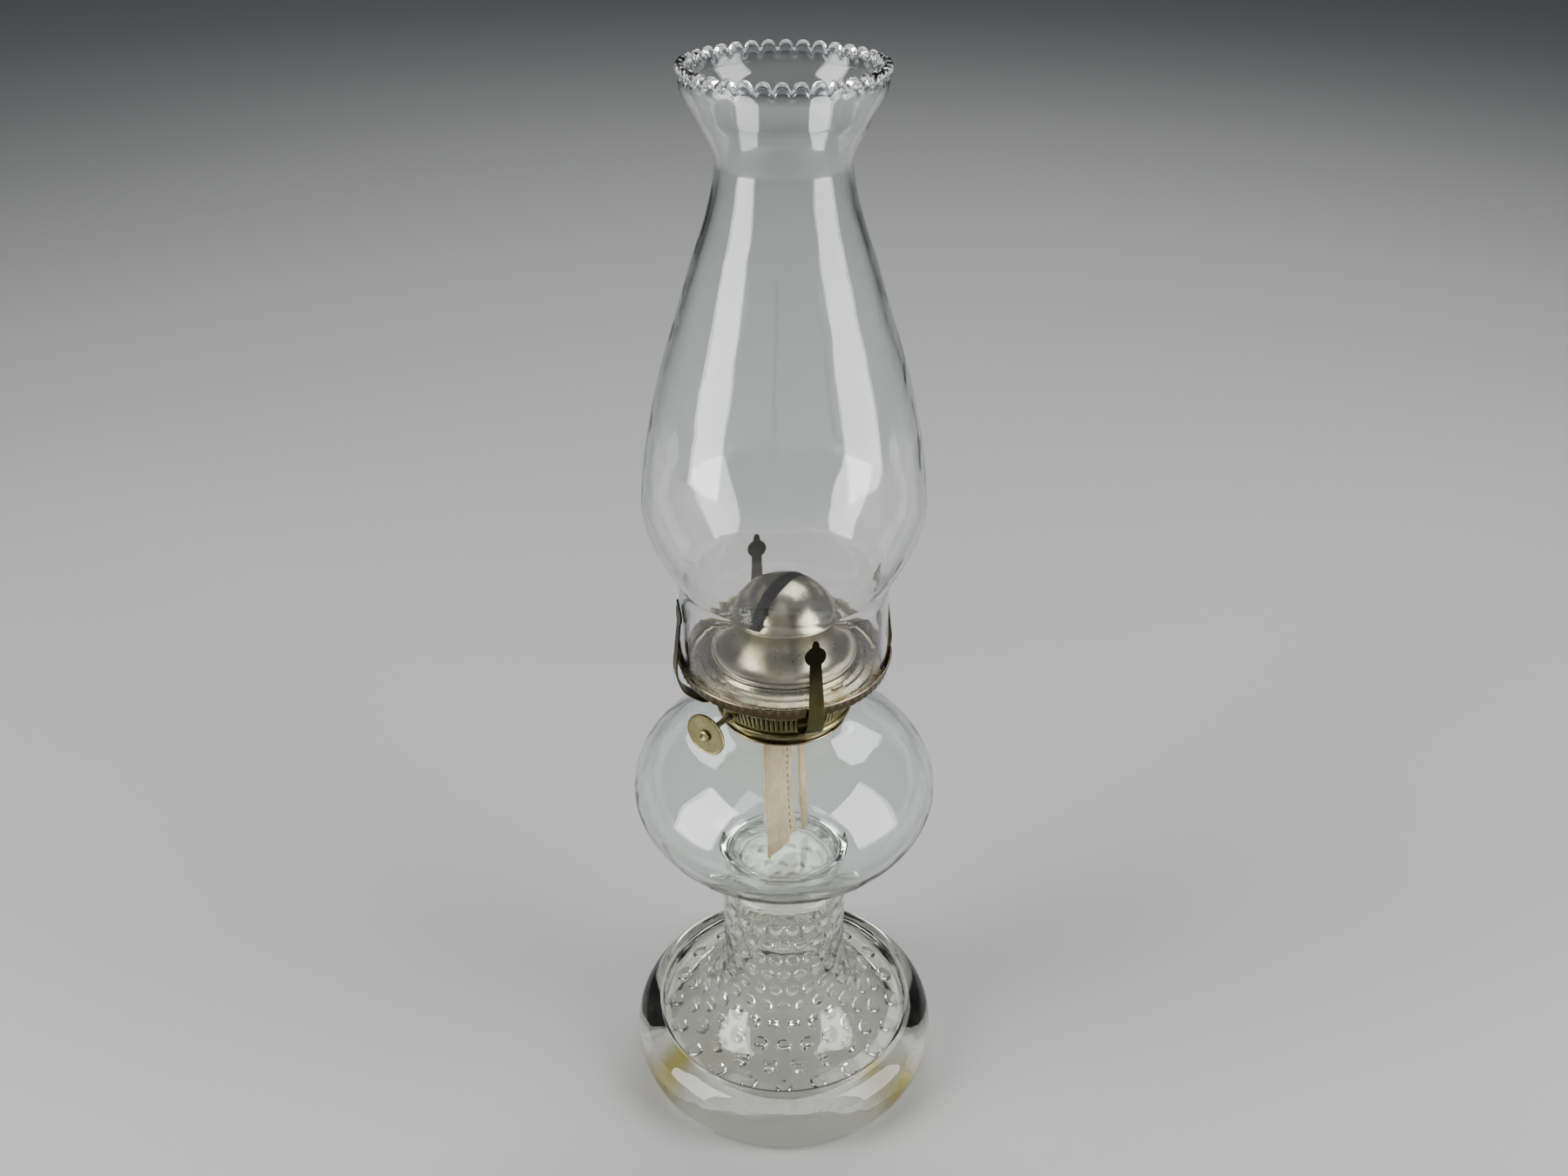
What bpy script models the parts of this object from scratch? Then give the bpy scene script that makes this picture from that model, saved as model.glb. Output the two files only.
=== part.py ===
"""Kerosene table lamp with a flat-wick burner, built as separate pieces.

The lamp stands on the world origin, +Z up the lamp's axis. The wick's width and its winding
spindle run along Y, and the thumbwheel points to -Y. Lengths are in metres.
"""

import math

import bmesh
import bpy
from mathutils import Matrix, Vector

MM = 0.001

# Fits shared by every piece
CLEARANCE = 0.3 * MM
SHEET = 0.5 * MM
GLASS_SEGMENTS = 36
METAL_SEGMENTS = 36
SMALL_SEGMENTS = 10
MERGE_DISTANCE = 0.002 * MM
CUTTER_REACH = 2.0 * MM
SLOPE_ROOM = 0.1 * MM

# Pressed glass foot
FOOT_RADIUS = 63.5 * MM
FOOT_REST_RADIUS = 56.0 * MM
FOOT_REST_WIDTH = 3.5 * MM
FOOT_WIDEST_HEIGHT = 15.5 * MM
FOOT_RIDGE_RADIUS = 53.0 * MM
FOOT_RIDGE_HEIGHT = 28.5 * MM
FOOT_GROOVE_WIDTH = 2.2 * MM
FOOT_GROOVE_DEPTH = 2.2 * MM
FOOT_WALL = 5.0 * MM
STEM_RADIUS = 25.0 * MM
STEM_WAIST_HEIGHT = 61.0 * MM
STEM_CAP = 6.0 * MM
FOOT_HEIGHT = 105.7 * MM

# Blown glass font
FONT_RADIUS = 58.4 * MM
FONT_EQUATOR_RISE = 40.3 * MM
FONT_UPPER_HEIGHT = 37.6 * MM
FONT_LOWER_HEIGHT = 38.6 * MM
FONT_UPPER_FULLNESS = 1.95
FONT_LOWER_FULLNESS = 1.87
FONT_PAD_RADIUS = 24.6 * MM
FONT_STEPS = 7
FONT_WALL = 2.6 * MM
FONT_FLOOR = 5.5 * MM
NECK_TUBE_ROOM = 5.5 * MM
NECK_WALL = 2.2 * MM
NECK_HEIGHT = 3.1 * MM

# Brass collar cemented on the neck
COLLAR_NECK_ROOM = 1.6 * MM
COLLAR_FLARE_WIDTH = 2.8 * MM
COLLAR_PLATE_GAP = 0.9 * MM
COLLAR_SOCKET_DEPTH = 7.0 * MM
COLLAR_SKIRT_WIDTH = 0.8 * MM
COLLAR_SKIRT_RISE = 2.0 * MM
COLLAR_EDGE_WIDTH = 0.6 * MM
COLLAR_EDGE_DROP = 0.8 * MM
CEMENT_WIDTH = 1.0 * MM
CEMENT_CHAMFER = 0.5 * MM

# Screw base of the burner
BASE_LIP_OVERHANG = 4.4 * MM
BASE_LIP_DROP = 0.9 * MM
BASE_EDGE_WIDTH = 0.35 * MM
BASE_EDGE_DROP = 0.4 * MM
BASE_CUP_DEPTH = 6.5 * MM

# Slotted air basket
BASKET_FOOT_INSET = 0.8 * MM
BASKET_FLARE = 5.2 * MM
BASKET_SLOT_COUNT = 36
BASKET_BAND = 1.6 * MM
BASKET_SLOT_HEIGHT = 7.0 * MM
BASKET_SOLID_HALF_ANGLE = math.radians(8.0)

# Gallery that carries the chimney
GALLERY_TRAY_RISE = 17.07 * MM
GALLERY_TRAY_WIDTH = 2.6 * MM
GALLERY_RIM_HEIGHT = 3.8 * MM
GALLERY_RIM_FLARE = 0.6 * MM
GALLERY_STEP_WIDTH = 1.0 * MM
GALLERY_STEP_RISE = 3.0 * MM
GALLERY_LEDGE_RISE = 4.6 * MM
GALLERY_LEDGE_WIDTH = 3.0 * MM

# Draught bell and slotted flame dome
BELL_TUBE_ROOM = 3.5 * MM
BELL_FLARE_WIDTH = 9.2 * MM
BELL_FLARE_HEIGHT = 12.9 * MM
BELL_HEIGHT = 16.1 * MM
DOME_OVERHANG = 1.15 * MM
DOME_HEIGHT = 10.8 * MM
DOME_FOOT_WIDTH = 2.2 * MM
DOME_SLOT_SIDE_ROOM = 0.8 * MM
DOME_SLOT_END_ROOM = 1.3 * MM
DOME_SLOT_SILL = 1.2 * MM

# Chimney
CHIMNEY_FITTER_RADIUS = 38.1 * MM
CHIMNEY_WAIST_RADIUS = 37.7 * MM
CHIMNEY_WALL = 1.8 * MM
CHIMNEY_FITTER_HEIGHT = 35.5 * MM
CHIMNEY_SHOULDER_RADIUS = 47.2 * MM
CHIMNEY_SHOULDER_HEIGHT = 55.2 * MM
CHIMNEY_BULGE_RADIUS = 49.3 * MM
CHIMNEY_BULGE_HEIGHT = 68.8 * MM
CHIMNEY_TAPER_LOW_RADIUS = 43.2 * MM
CHIMNEY_TAPER_LOW_HEIGHT = 105.8 * MM
CHIMNEY_TAPER_HIGH_RADIUS = 31.8 * MM
CHIMNEY_TAPER_HIGH_HEIGHT = 143.8 * MM
CHIMNEY_NECK_RADIUS = 21.3 * MM
CHIMNEY_NECK_HEIGHT = 181.0 * MM
CHIMNEY_CROWN_RADIUS = 26.6 * MM
CHIMNEY_CROWN_HEIGHT = 195.1 * MM
CHIMNEY_LIP_RADIUS = 31.2 * MM
CHIMNEY_LIP_HEIGHT = 203.8 * MM
CHIMNEY_RIM_RADIUS = 31.6 * MM
CHIMNEY_RIM_HEIGHT = 209.6 * MM
CHIMNEY_BEAD_RADIUS = 1.7 * MM

# Wick, its tube and the winding gear
WICK_WIDTH = 25.4 * MM
WICK_THICKNESS = 1.6 * MM
WICK_TOP_BELOW_TUBE = 1.5 * MM
WICK_END_RISE = 2.5 * MM
WICK_THIN_TAIL_LIFT = 2.0 * MM
WICK_SLIT_HEIGHT = 55.0 * MM
WICK_SLIT_WIDTH = 1.6 * MM
WICK_THIN_TAIL_WIDTH = 5.0 * MM
TUBE_SIDE_ROOM = 0.6 * MM
TUBE_END_ROOM = 0.7 * MM
TUBE_TOP_RISE = 3.75 * MM
TUBE_END_SEGMENTS = 6
SPUR_RADIUS = 3.4 * MM
SPUR_ROOT_RADIUS = 2.5 * MM
SPUR_TEETH = 9
SPUR_THICKNESS = 1.2 * MM
SPUR_PITCH = 7.5 * MM
SPUR_COUNT = 3
SPINDLE_RADIUS = 1.1 * MM
SPINDLE_RISE = 4.87 * MM
SPINDLE_TAIL = 0.6 * MM
SPINDLE_SHOULDER_RADIUS = 2.0 * MM
SPINDLE_SHOULDER_LENGTH = 1.5 * MM
WHEEL_REACH = 41.2 * MM
WHEEL_RADIUS = 8.2 * MM
WHEEL_THICKNESS = 1.4 * MM
WHEEL_KNURL_DEPTH = 0.35 * MM
WHEEL_KNURL_COUNT = 44
RIVET_CAP_RADIUS = 2.3 * MM
RIVET_CAP_HEIGHT = 0.9 * MM
RIVET_RIDGE_RADIUS = 1.7 * MM
RIVET_DIMPLE_RADIUS = 1.05 * MM
BUSH_WALL = 0.8 * MM
BUSH_LENGTH = 3.2 * MM
BUSH_FLANGE_WIDTH = 0.9 * MM
HOUSING_ROOM = 1.4 * MM

# Spring prongs that hold the chimney
PRONG_COUNT = 4
PRONG_FIRST_ANGLE = math.radians(52.0)
PRONG_THICKNESS = 0.6 * MM
PRONG_ROOT_WIDTH = 6.8 * MM
PRONG_MIDDLE_WIDTH = 5.7 * MM
PRONG_NECK_WIDTH = 4.2 * MM
PRONG_BALL_RADIUS = 3.8 * MM
PRONG_NUB_WIDTH = 2.8 * MM
PRONG_NUB_LENGTH = 2.6 * MM
PRONG_BALL_RISE = 25.8 * MM
PRONG_TAB_HEIGHT = 4.2 * MM
PRONG_RIM_ROOM = 1.2 * MM
PRONG_LEAN_ROOM = 0.05 * MM
PRONG_BEND_RISE = 6.72 * MM
PRONG_BEND_REACH = 1.0 * MM
PRONG_BEND_DROP = 1.4 * MM
PRONG_HINGE_DROP = 1.7 * MM
PRONG_HINGE_REACH = 3.9 * MM
PRONG_HEEL_SHARE = 0.45
PRONG_HEEL_RISE = 2.4 * MM
PRONG_ELBOW_INSET = 1.4 * MM
PRONG_ELBOW_DROP = 5.2 * MM
PRONG_RIM_DROP = 1.5 * MM
PRONG_WAIST_INSET = 0.6 * MM
PRONG_WAIST_RISE = 6.0 * MM
PRONG_TIP_OUT = 0.3 * MM
PRONG_PATH_STEPS = 3
BALL_STEPS = 3
PRONG_SHANK_RADIUS = 1.0 * MM
PRONG_RIVET_HEAD_RADIUS = 1.9 * MM
PRONG_RIVET_CROWN_RADIUS = 1.3 * MM
PRONG_RIVET_HEAD_HEIGHT = 0.6 * MM

# Heights and radii that follow from the sizes above
FONT_BOTTOM = FOOT_HEIGHT + CLEARANCE
FONT_EQUATOR = FONT_BOTTOM + FONT_EQUATOR_RISE
TUBE_HALF_THICKNESS = WICK_THICKNESS / 2 + TUBE_SIDE_ROOM
TUBE_HALF_WIDTH = WICK_WIDTH / 2 + TUBE_END_ROOM
TUBE_REACH = TUBE_HALF_WIDTH + SHEET
NECK_RADIUS = TUBE_REACH + NECK_TUBE_ROOM
COLLAR_TOP_RADIUS = NECK_RADIUS + COLLAR_NECK_ROOM
COLLAR_FLARE_RADIUS = COLLAR_TOP_RADIUS + COLLAR_FLARE_WIDTH
BASE_LIP_RADIUS = COLLAR_TOP_RADIUS + BASE_LIP_OVERHANG
BASKET_FOOT_RADIUS = BASE_LIP_RADIUS - BASKET_FOOT_INSET
BASKET_TOP_RADIUS = BASKET_FOOT_RADIUS + BASKET_FLARE
BELL_WAIST_RADIUS = TUBE_REACH + BELL_TUBE_ROOM
BELL_FOOT_RADIUS = BELL_WAIST_RADIUS + BELL_FLARE_WIDTH
GALLERY_LEDGE_RADIUS = BELL_FOOT_RADIUS
GALLERY_STEP_RADIUS = GALLERY_LEDGE_RADIUS + GALLERY_STEP_WIDTH
GALLERY_HOLE_RADIUS = GALLERY_LEDGE_RADIUS - GALLERY_LEDGE_WIDTH
DOME_RADIUS = BELL_WAIST_RADIUS + DOME_OVERHANG
DOME_SLOT_WIDTH = 2 * (TUBE_HALF_THICKNESS + SHEET + DOME_SLOT_SIDE_ROOM)
DOME_SLOT_BACK = TUBE_REACH + DOME_SLOT_END_ROOM
SPINDLE_X = -(WICK_THICKNESS / 2 + CLEARANCE + SPUR_RADIUS)
SPINDLE_BORE = SPINDLE_RADIUS + CLEARANCE


def fullness_quadrant(radius, height, fullness, share):
    """Point of a superellipse quadrant; share runs from 0 at the equator to 1 at the pole."""
    angle = share * math.pi / 2
    power = 2 / fullness
    return radius * math.cos(angle) ** power, height * math.sin(angle) ** power


def font_height_at(radius, side):
    """Height of the font's outer surface at a radius, on its upper (+1) or lower (-1) half."""
    height = FONT_UPPER_HEIGHT if side > 0 else FONT_LOWER_HEIGHT
    fullness = FONT_UPPER_FULLNESS if side > 0 else FONT_LOWER_FULLNESS
    rise = height * (1 - (radius / FONT_RADIUS) ** fullness) ** (1 / fullness)
    return FONT_EQUATOR + side * rise


NECK_FOOT = font_height_at(NECK_RADIUS, 1)
NECK_TOP = NECK_FOOT + NECK_HEIGHT
COLLAR_FLARE_HEIGHT = font_height_at(COLLAR_FLARE_RADIUS - SHEET, 1) + CLEARANCE
COLLAR_PLATE = NECK_TOP + COLLAR_PLATE_GAP + SHEET / 2
COLLAR_SOCKET_RADIUS = NECK_RADIUS - NECK_WALL - CLEARANCE - SHEET / 2
BASE_PLATE = COLLAR_PLATE + SHEET + CLEARANCE
BASE_THREAD_RADIUS = COLLAR_SOCKET_RADIUS - SHEET - CLEARANCE
BASE_CUP_FLOOR = BASE_PLATE - BASE_CUP_DEPTH
TUBE_FOOT = BASE_CUP_FLOOR - SHEET / 2
BASKET_FOOT = BASE_PLATE + SHEET / 2 + CLEARANCE
PRONG_BEND_HEIGHT = BASKET_FOOT + PRONG_BEND_RISE
SPINDLE_HEIGHT = BASE_PLATE + SPINDLE_RISE
GALLERY_TRAY_HEIGHT = BASE_PLATE + GALLERY_TRAY_RISE
TRAY_RADIUS = CHIMNEY_FITTER_RADIUS + CLEARANCE + SHEET / 2
GALLERY_LEDGE = GALLERY_TRAY_HEIGHT + GALLERY_LEDGE_RISE
BELL_FOOT = GALLERY_LEDGE + SHEET + CLEARANCE
BELL_TOP = BELL_FOOT + BELL_HEIGHT
DOME_FOOT = BELL_TOP + CLEARANCE + SHEET / 2
CHIMNEY_FOOT = GALLERY_TRAY_HEIGHT + SHEET / 2 + CLEARANCE
PRONG_BALL_HEIGHT = GALLERY_TRAY_HEIGHT + PRONG_BALL_RISE
TUBE_TOP_HEIGHT = DOME_FOOT + TUBE_TOP_RISE
WICK_TOP = TUBE_TOP_HEIGHT - WICK_TOP_BELOW_TUBE
WICK_END_HEIGHT = FONT_BOTTOM + FONT_FLOOR + WICK_END_RISE


def gallery_height_at(radius):
    """Mid-height of the gallery's sheet between its step and its tray."""
    inner, outer = GALLERY_STEP_RADIUS, TRAY_RADIUS - GALLERY_TRAY_WIDTH
    share = (outer - radius) / (outer - inner)
    return GALLERY_TRAY_HEIGHT + GALLERY_STEP_RISE * share


BASKET_TOP = gallery_height_at(BASKET_TOP_RADIUS) - SHEET / 2 - CLEARANCE - SLOPE_ROOM
BASKET_SLOPE = (BASKET_TOP_RADIUS - BASKET_FOOT_RADIUS) / (BASKET_TOP - BASKET_FOOT)


def basket_radius_at(z):
    """Mid-radius of the basket's wall at a height."""
    return BASKET_FOOT_RADIUS + BASKET_SLOPE * (z - BASKET_FOOT)


# ---------------------------------------------------------------- outlines


def ellipse_arc(centre, half_width, half_height, start, end, steps):
    """Points (r, z) along an ellipse from one angle to another, in degrees."""
    points = []
    for step in range(steps + 1):
        angle = math.radians(start + (end - start) * step / steps)
        r = centre[0] + half_width * math.cos(angle)
        z = centre[1] + half_height * math.sin(angle)
        points.append((r, z))
    return points


def round_cap(radius, height, foot, steps):
    """Points (r, z) of a spherical cap, from its rim up to its top."""
    ball = (radius ** 2 + height ** 2) / (2 * height)
    low = math.asin((ball - height) / ball)
    points = []
    for step in range(steps):
        angle = low + (math.pi / 2 - low) * step / steps
        points.append((ball * math.cos(angle), foot + height - ball + ball * math.sin(angle)))
    return points + [(0.0, foot + height)]


def smooth_path(stations, steps, start_direction=None):
    """Hermite curve through the stations, with tangents scaled to each span's chord."""
    knots = [Vector(station) for station in stations]
    points = []
    for index in range(len(knots) - 1):
        here, there = knots[index], knots[index + 1]
        chord = (there - here).length
        before = knots[max(index - 1, 0)]
        after = knots[min(index + 2, len(knots) - 1)]
        leave = (there - before).normalized() * chord
        arrive = (after - here).normalized() * chord
        if index == 0 and start_direction is not None:
            leave = Vector(start_direction).normalized() * chord
        for step in range(steps):
            t = step / steps
            blend_leave = t ** 3 - 2 * t ** 2 + t
            blend_arrive = t ** 3 - t ** 2
            blend_there = 3 * t ** 2 - 2 * t ** 3
            point = here * (1 - blend_there) + there * blend_there
            point = point + leave * blend_leave + arrive * blend_arrive
            points.append(tuple(point))
    points.append(tuple(knots[-1]))
    return points


def offset_path(points, distance):
    """Move an open path sideways, to the right of its direction, with mitred corners."""
    moved = []
    for index, point in enumerate(points):
        here = Vector(point)
        sides = []
        for a, b in ((index - 1, index), (index, index + 1)):
            if a >= 0 and b < len(points):
                run = (Vector(points[b]) - Vector(points[a])).normalized()
                sides.append(Vector((run.y, -run.x)))
        side = sum(sides, Vector((0.0, 0.0))).normalized()
        shift = side * (distance / side.dot(sides[0]))
        r = 0.0 if abs(here.x) < MERGE_DISTANCE else here.x + shift.x
        moved.append((r, here.y + shift.y))
    return moved


def sheet_outline(points, thickness=SHEET):
    """Closed outline of a sheet whose middle follows the path."""
    outer = offset_path(points, thickness / 2)
    inner = offset_path(points, -thickness / 2)
    return outer + inner[::-1]


# ---------------------------------------------------------------- objects


def clear_objects():
    for thing in list(bpy.data.objects):
        bpy.data.objects.remove(thing, do_unlink=True)


def material(name, colour, roughness, metallic, transmission=0.0):
    made = bpy.data.materials.new(name)
    made.use_nodes = True
    shader = made.node_tree.nodes["Principled BSDF"]
    shader.inputs["Base Color"].default_value = (*colour, 1.0)
    shader.inputs["Roughness"].default_value = roughness
    shader.inputs["Metallic"].default_value = metallic
    shader.inputs["Transmission Weight"].default_value = transmission
    return made


def add_object(name, shape, finish, smooth_angle=35.0):
    """Turn a bmesh into a named object with its material and smooth shading."""
    bmesh.ops.remove_doubles(shape, verts=shape.verts, dist=MERGE_DISTANCE)
    bmesh.ops.recalc_face_normals(shape, faces=shape.faces)
    mesh = bpy.data.meshes.new(name)
    shape.to_mesh(mesh)
    shape.free()
    mesh.shade_smooth()
    mesh.set_sharp_from_angle(angle=math.radians(smooth_angle))
    mesh.materials.append(finish)
    thing = bpy.data.objects.new(name, mesh)
    bpy.context.scene.collection.objects.link(thing)
    return thing


def turned_shape(outline, segments):
    """Closed solid made by turning an outline of (r, z) points about Z."""
    shape = bmesh.new()
    rim = [shape.verts.new((r, 0.0, z)) for r, z in outline]
    on_axis = outline[0][0] == 0.0 and outline[-1][0] == 0.0
    pairs = list(zip(rim, rim[1:]))
    if not on_axis:
        pairs.append((rim[-1], rim[0]))
    edges = [shape.edges.new(pair) for pair in pairs]
    bmesh.ops.spin(
        shape, geom=rim + edges, cent=(0, 0, 0), axis=(0, 0, 1), dvec=(0, 0, 0),
        angle=2 * math.pi, steps=segments, use_merge=True, use_duplicate=False,
    )
    return shape


def turned(name, outline, finish, segments=METAL_SEGMENTS):
    return add_object(name, turned_shape(outline, segments), finish)


def extruded_shape(outline, bottom, top):
    """Prism of a plan outline (x, y) between two heights."""
    shape = bmesh.new()
    plan = shape.faces.new([shape.verts.new((x, y, bottom)) for x, y in outline])
    risen = bmesh.ops.extrude_face_region(shape, geom=[plan])
    verts = [item for item in risen["geom"] if isinstance(item, bmesh.types.BMVert)]
    bmesh.ops.translate(shape, verts=verts, vec=(0, 0, top - bottom))
    return shape


def box_shape(low, high):
    shape = bmesh.new()
    size = Vector(high) - Vector(low)
    middle = (Vector(high) + Vector(low)) / 2
    place = Matrix.Translation(middle) @ Matrix.Diagonal((*size, 1.0))
    bmesh.ops.create_cube(shape, size=1.0, matrix=place)
    return shape


def rod_shape(radius, bottom, top, segments=SMALL_SEGMENTS):
    shape = bmesh.new()
    place = Matrix.Translation((0, 0, (bottom + top) / 2))
    bmesh.ops.create_cone(
        shape, cap_ends=True, segments=segments, radius1=radius, radius2=radius,
        depth=top - bottom, matrix=place,
    )
    return shape


def cut(target, cutter):
    """Subtract a hidden cutter from a piece."""
    cutter.hide_render = True
    cutter.display_type = "WIRE"
    modifier = target.modifiers.new("cut_" + cutter.name, "BOOLEAN")
    modifier.operation = "DIFFERENCE"
    modifier.solver = "EXACT"
    modifier.object = cutter


def put_on(parent, child, height=0.0):
    """Parent a piece to an empty, at a height along the empty's own Z."""
    child.parent = parent
    child.location = (0, 0, height)


def add_empty(name, place):
    empty = bpy.data.objects.new(name, None)
    empty.matrix_world = place
    bpy.context.scene.collection.objects.link(empty)
    return empty


# ---------------------------------------------------------------- glass


def build_foot(finish):
    """Rolled rim, raised ridge, groove, then a trumpet skirt up to a straight stem."""
    skirt_radius = FOOT_RIDGE_RADIUS - FOOT_GROOVE_WIDTH
    skirt_foot = FOOT_RIDGE_HEIGHT - FOOT_GROOVE_DEPTH
    skirt_centre = (skirt_radius, STEM_WAIST_HEIGHT)
    skirt = ellipse_arc(
        skirt_centre, skirt_radius - STEM_RADIUS, STEM_WAIST_HEIGHT - skirt_foot, 270, 180, 6
    )
    outside = [(0.0, FOOT_HEIGHT), (STEM_RADIUS, FOOT_HEIGHT)] + skirt[::-1]
    outside += ellipse_arc(
        (FOOT_RIDGE_RADIUS, FOOT_WIDEST_HEIGHT), FOOT_RADIUS - FOOT_RIDGE_RADIUS,
        FOOT_RIDGE_HEIGHT - FOOT_WIDEST_HEIGHT, 90, 0, 4,
    )
    outside += ellipse_arc(
        (FOOT_REST_RADIUS, FOOT_WIDEST_HEIGHT), FOOT_RADIUS - FOOT_REST_RADIUS,
        FOOT_WIDEST_HEIGHT, 0, -90, 4,
    )[1:]
    hollow_skirt = offset_path([(skirt_radius + FOOT_WALL, skirt_foot)] + skirt, -FOOT_WALL)[1:]
    rest_inner = FOOT_REST_RADIUS - FOOT_REST_WIDTH
    inside = ellipse_arc(
        (hollow_skirt[0][0], 0.0), rest_inner - hollow_skirt[0][0], hollow_skirt[0][1], 0, 90, 3
    )[:-1]
    inside += hollow_skirt
    hollow_top = FOOT_HEIGHT - STEM_CAP
    inside += [(STEM_RADIUS - FOOT_WALL, hollow_top - FOOT_WALL), (0.0, hollow_top)]
    return turned("glass_foot", outside + inside, finish, GLASS_SEGMENTS)


def font_outside():
    """Font surface from the edge of its base pad up to the foot of its neck."""
    low_angle = math.acos((FONT_PAD_RADIUS / FONT_RADIUS) ** (FONT_LOWER_FULLNESS / 2))
    high_angle = math.acos((NECK_RADIUS / FONT_RADIUS) ** (FONT_UPPER_FULLNESS / 2))
    points = []
    for step in range(FONT_STEPS, 0, -1):
        share = step / FONT_STEPS * low_angle / (math.pi / 2)
        r, drop = fullness_quadrant(FONT_RADIUS, FONT_LOWER_HEIGHT, FONT_LOWER_FULLNESS, share)
        points.append((r, FONT_EQUATOR - drop))
    for step in range(FONT_STEPS + 1):
        share = step / FONT_STEPS * high_angle / (math.pi / 2)
        r, rise = fullness_quadrant(FONT_RADIUS, FONT_UPPER_HEIGHT, FONT_UPPER_FULLNESS, share)
        points.append((r, FONT_EQUATOR + rise))
    return points


def build_font(finish):
    """Blown reservoir, open at its neck, with a thick floor on the stem."""
    outside = [(0.0, FONT_BOTTOM), (FONT_PAD_RADIUS, FONT_BOTTOM)] + font_outside()
    outside += [(NECK_RADIUS, NECK_TOP)]
    wall = offset_path(font_outside(), -FONT_WALL)
    floor = FONT_BOTTOM + FONT_FLOOR
    bore = NECK_RADIUS - NECK_WALL
    inside = [(bore, NECK_TOP)]
    inside += [(r, z) for r, z in wall[::-1] if z > floor and r > bore]
    inside += [(bore, floor), (0.0, floor)]
    return turned("glass_font", outside + inside, finish, GLASS_SEGMENTS)


def chimney_outside():
    """Straight fitter, pinched waist, full bulge, long taper to the neck and a cupped crown."""
    stations = [
        (CHIMNEY_WAIST_RADIUS, CHIMNEY_FITTER_HEIGHT),
        (CHIMNEY_SHOULDER_RADIUS, CHIMNEY_SHOULDER_HEIGHT),
        (CHIMNEY_BULGE_RADIUS, CHIMNEY_BULGE_HEIGHT),
        (CHIMNEY_TAPER_LOW_RADIUS, CHIMNEY_TAPER_LOW_HEIGHT),
        (CHIMNEY_TAPER_HIGH_RADIUS, CHIMNEY_TAPER_HIGH_HEIGHT),
        (CHIMNEY_NECK_RADIUS, CHIMNEY_NECK_HEIGHT),
        (CHIMNEY_CROWN_RADIUS, CHIMNEY_CROWN_HEIGHT),
        (CHIMNEY_LIP_RADIUS, CHIMNEY_LIP_HEIGHT),
        (CHIMNEY_RIM_RADIUS, CHIMNEY_RIM_HEIGHT),
    ]
    curve = smooth_path(stations, 2, start_direction=(0.5, 1.0))
    points = [(CHIMNEY_FITTER_RADIUS, 0.0)] + curve
    return [(r, CHIMNEY_FOOT + z) for r, z in points]


def build_chimney(finish):
    outside = chimney_outside()
    inside = offset_path(outside, -CHIMNEY_WALL)
    inside[0] = (inside[0][0], CHIMNEY_FOOT)
    middle = (CHIMNEY_RIM_RADIUS - CHIMNEY_WALL / 2, CHIMNEY_FOOT + CHIMNEY_RIM_HEIGHT)
    bead = ellipse_arc(middle, CHIMNEY_BEAD_RADIUS, CHIMNEY_BEAD_RADIUS, -30, 210, 6)
    outline = outside[:-1] + bead + inside[-2::-1]
    return turned("chimney", outline, finish, GLASS_SEGMENTS)


# ---------------------------------------------------------------- collar and burner body


def build_collar(finish):
    """Flared skirt, flat plate and a smooth screw socket inside the neck."""
    path = [
        (COLLAR_FLARE_RADIUS - SHEET / 2, COLLAR_FLARE_HEIGHT + SHEET / 2),
        (COLLAR_TOP_RADIUS + COLLAR_SKIRT_WIDTH, COLLAR_FLARE_HEIGHT + COLLAR_SKIRT_RISE),
        (COLLAR_TOP_RADIUS, COLLAR_PLATE - COLLAR_EDGE_DROP),
        (COLLAR_TOP_RADIUS - COLLAR_EDGE_WIDTH, COLLAR_PLATE),
        (COLLAR_SOCKET_RADIUS, COLLAR_PLATE),
        (COLLAR_SOCKET_RADIUS, COLLAR_PLATE - COLLAR_SOCKET_DEPTH),
    ]
    return turned("font_collar", sheet_outline(path), finish)


def build_cement(finish):
    inner = NECK_RADIUS + CLEARANCE
    outer = inner + CEMENT_WIDTH
    low = font_height_at(inner, 1) + CLEARANCE
    high = COLLAR_PLATE - SHEET / 2 - CLEARANCE
    shoulder = outer - CEMENT_CHAMFER
    outline = [(inner, low), (shoulder, low), (outer, low + CEMENT_CHAMFER)]
    outline += [(shoulder, high), (inner, high)]
    return turned("collar_cement", outline, finish)


def tube_plan(half_width, half_thickness):
    """Flat tube's plan outline: straight sides with round ends, its width along Y."""
    reach = half_width - half_thickness
    points = []
    for middle, start in ((reach, 0.0), (-reach, 180.0)):
        for step in range(TUBE_END_SEGMENTS + 1):
            angle = math.radians(start + 180.0 * step / TUBE_END_SEGMENTS)
            x = half_thickness * math.cos(angle)
            points.append((x, middle + half_thickness * math.sin(angle)))
    return points


def build_base(finish):
    """Lip and plate over the collar, and a screw cup that closes the font around the wick tube."""
    lip = BASE_LIP_RADIUS - SHEET / 2
    path = [
        (lip, BASE_PLATE - BASE_LIP_DROP),
        (lip, BASE_PLATE - BASE_EDGE_DROP),
        (lip - BASE_EDGE_WIDTH, BASE_PLATE),
        (BASE_THREAD_RADIUS, BASE_PLATE),
        (BASE_THREAD_RADIUS, BASE_CUP_FLOOR),
        (0.0, BASE_CUP_FLOOR),
    ]
    base = turned("burner_base", sheet_outline(path), finish)
    room = SHEET + CLEARANCE
    plan = tube_plan(TUBE_HALF_WIDTH + room, TUBE_HALF_THICKNESS + room)
    slot = extruded_shape(plan, BASE_CUP_FLOOR - SHEET, BASE_CUP_FLOOR + SHEET)
    cut(base, add_object("cutter_base_slot", slot, finish))
    return base


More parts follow.
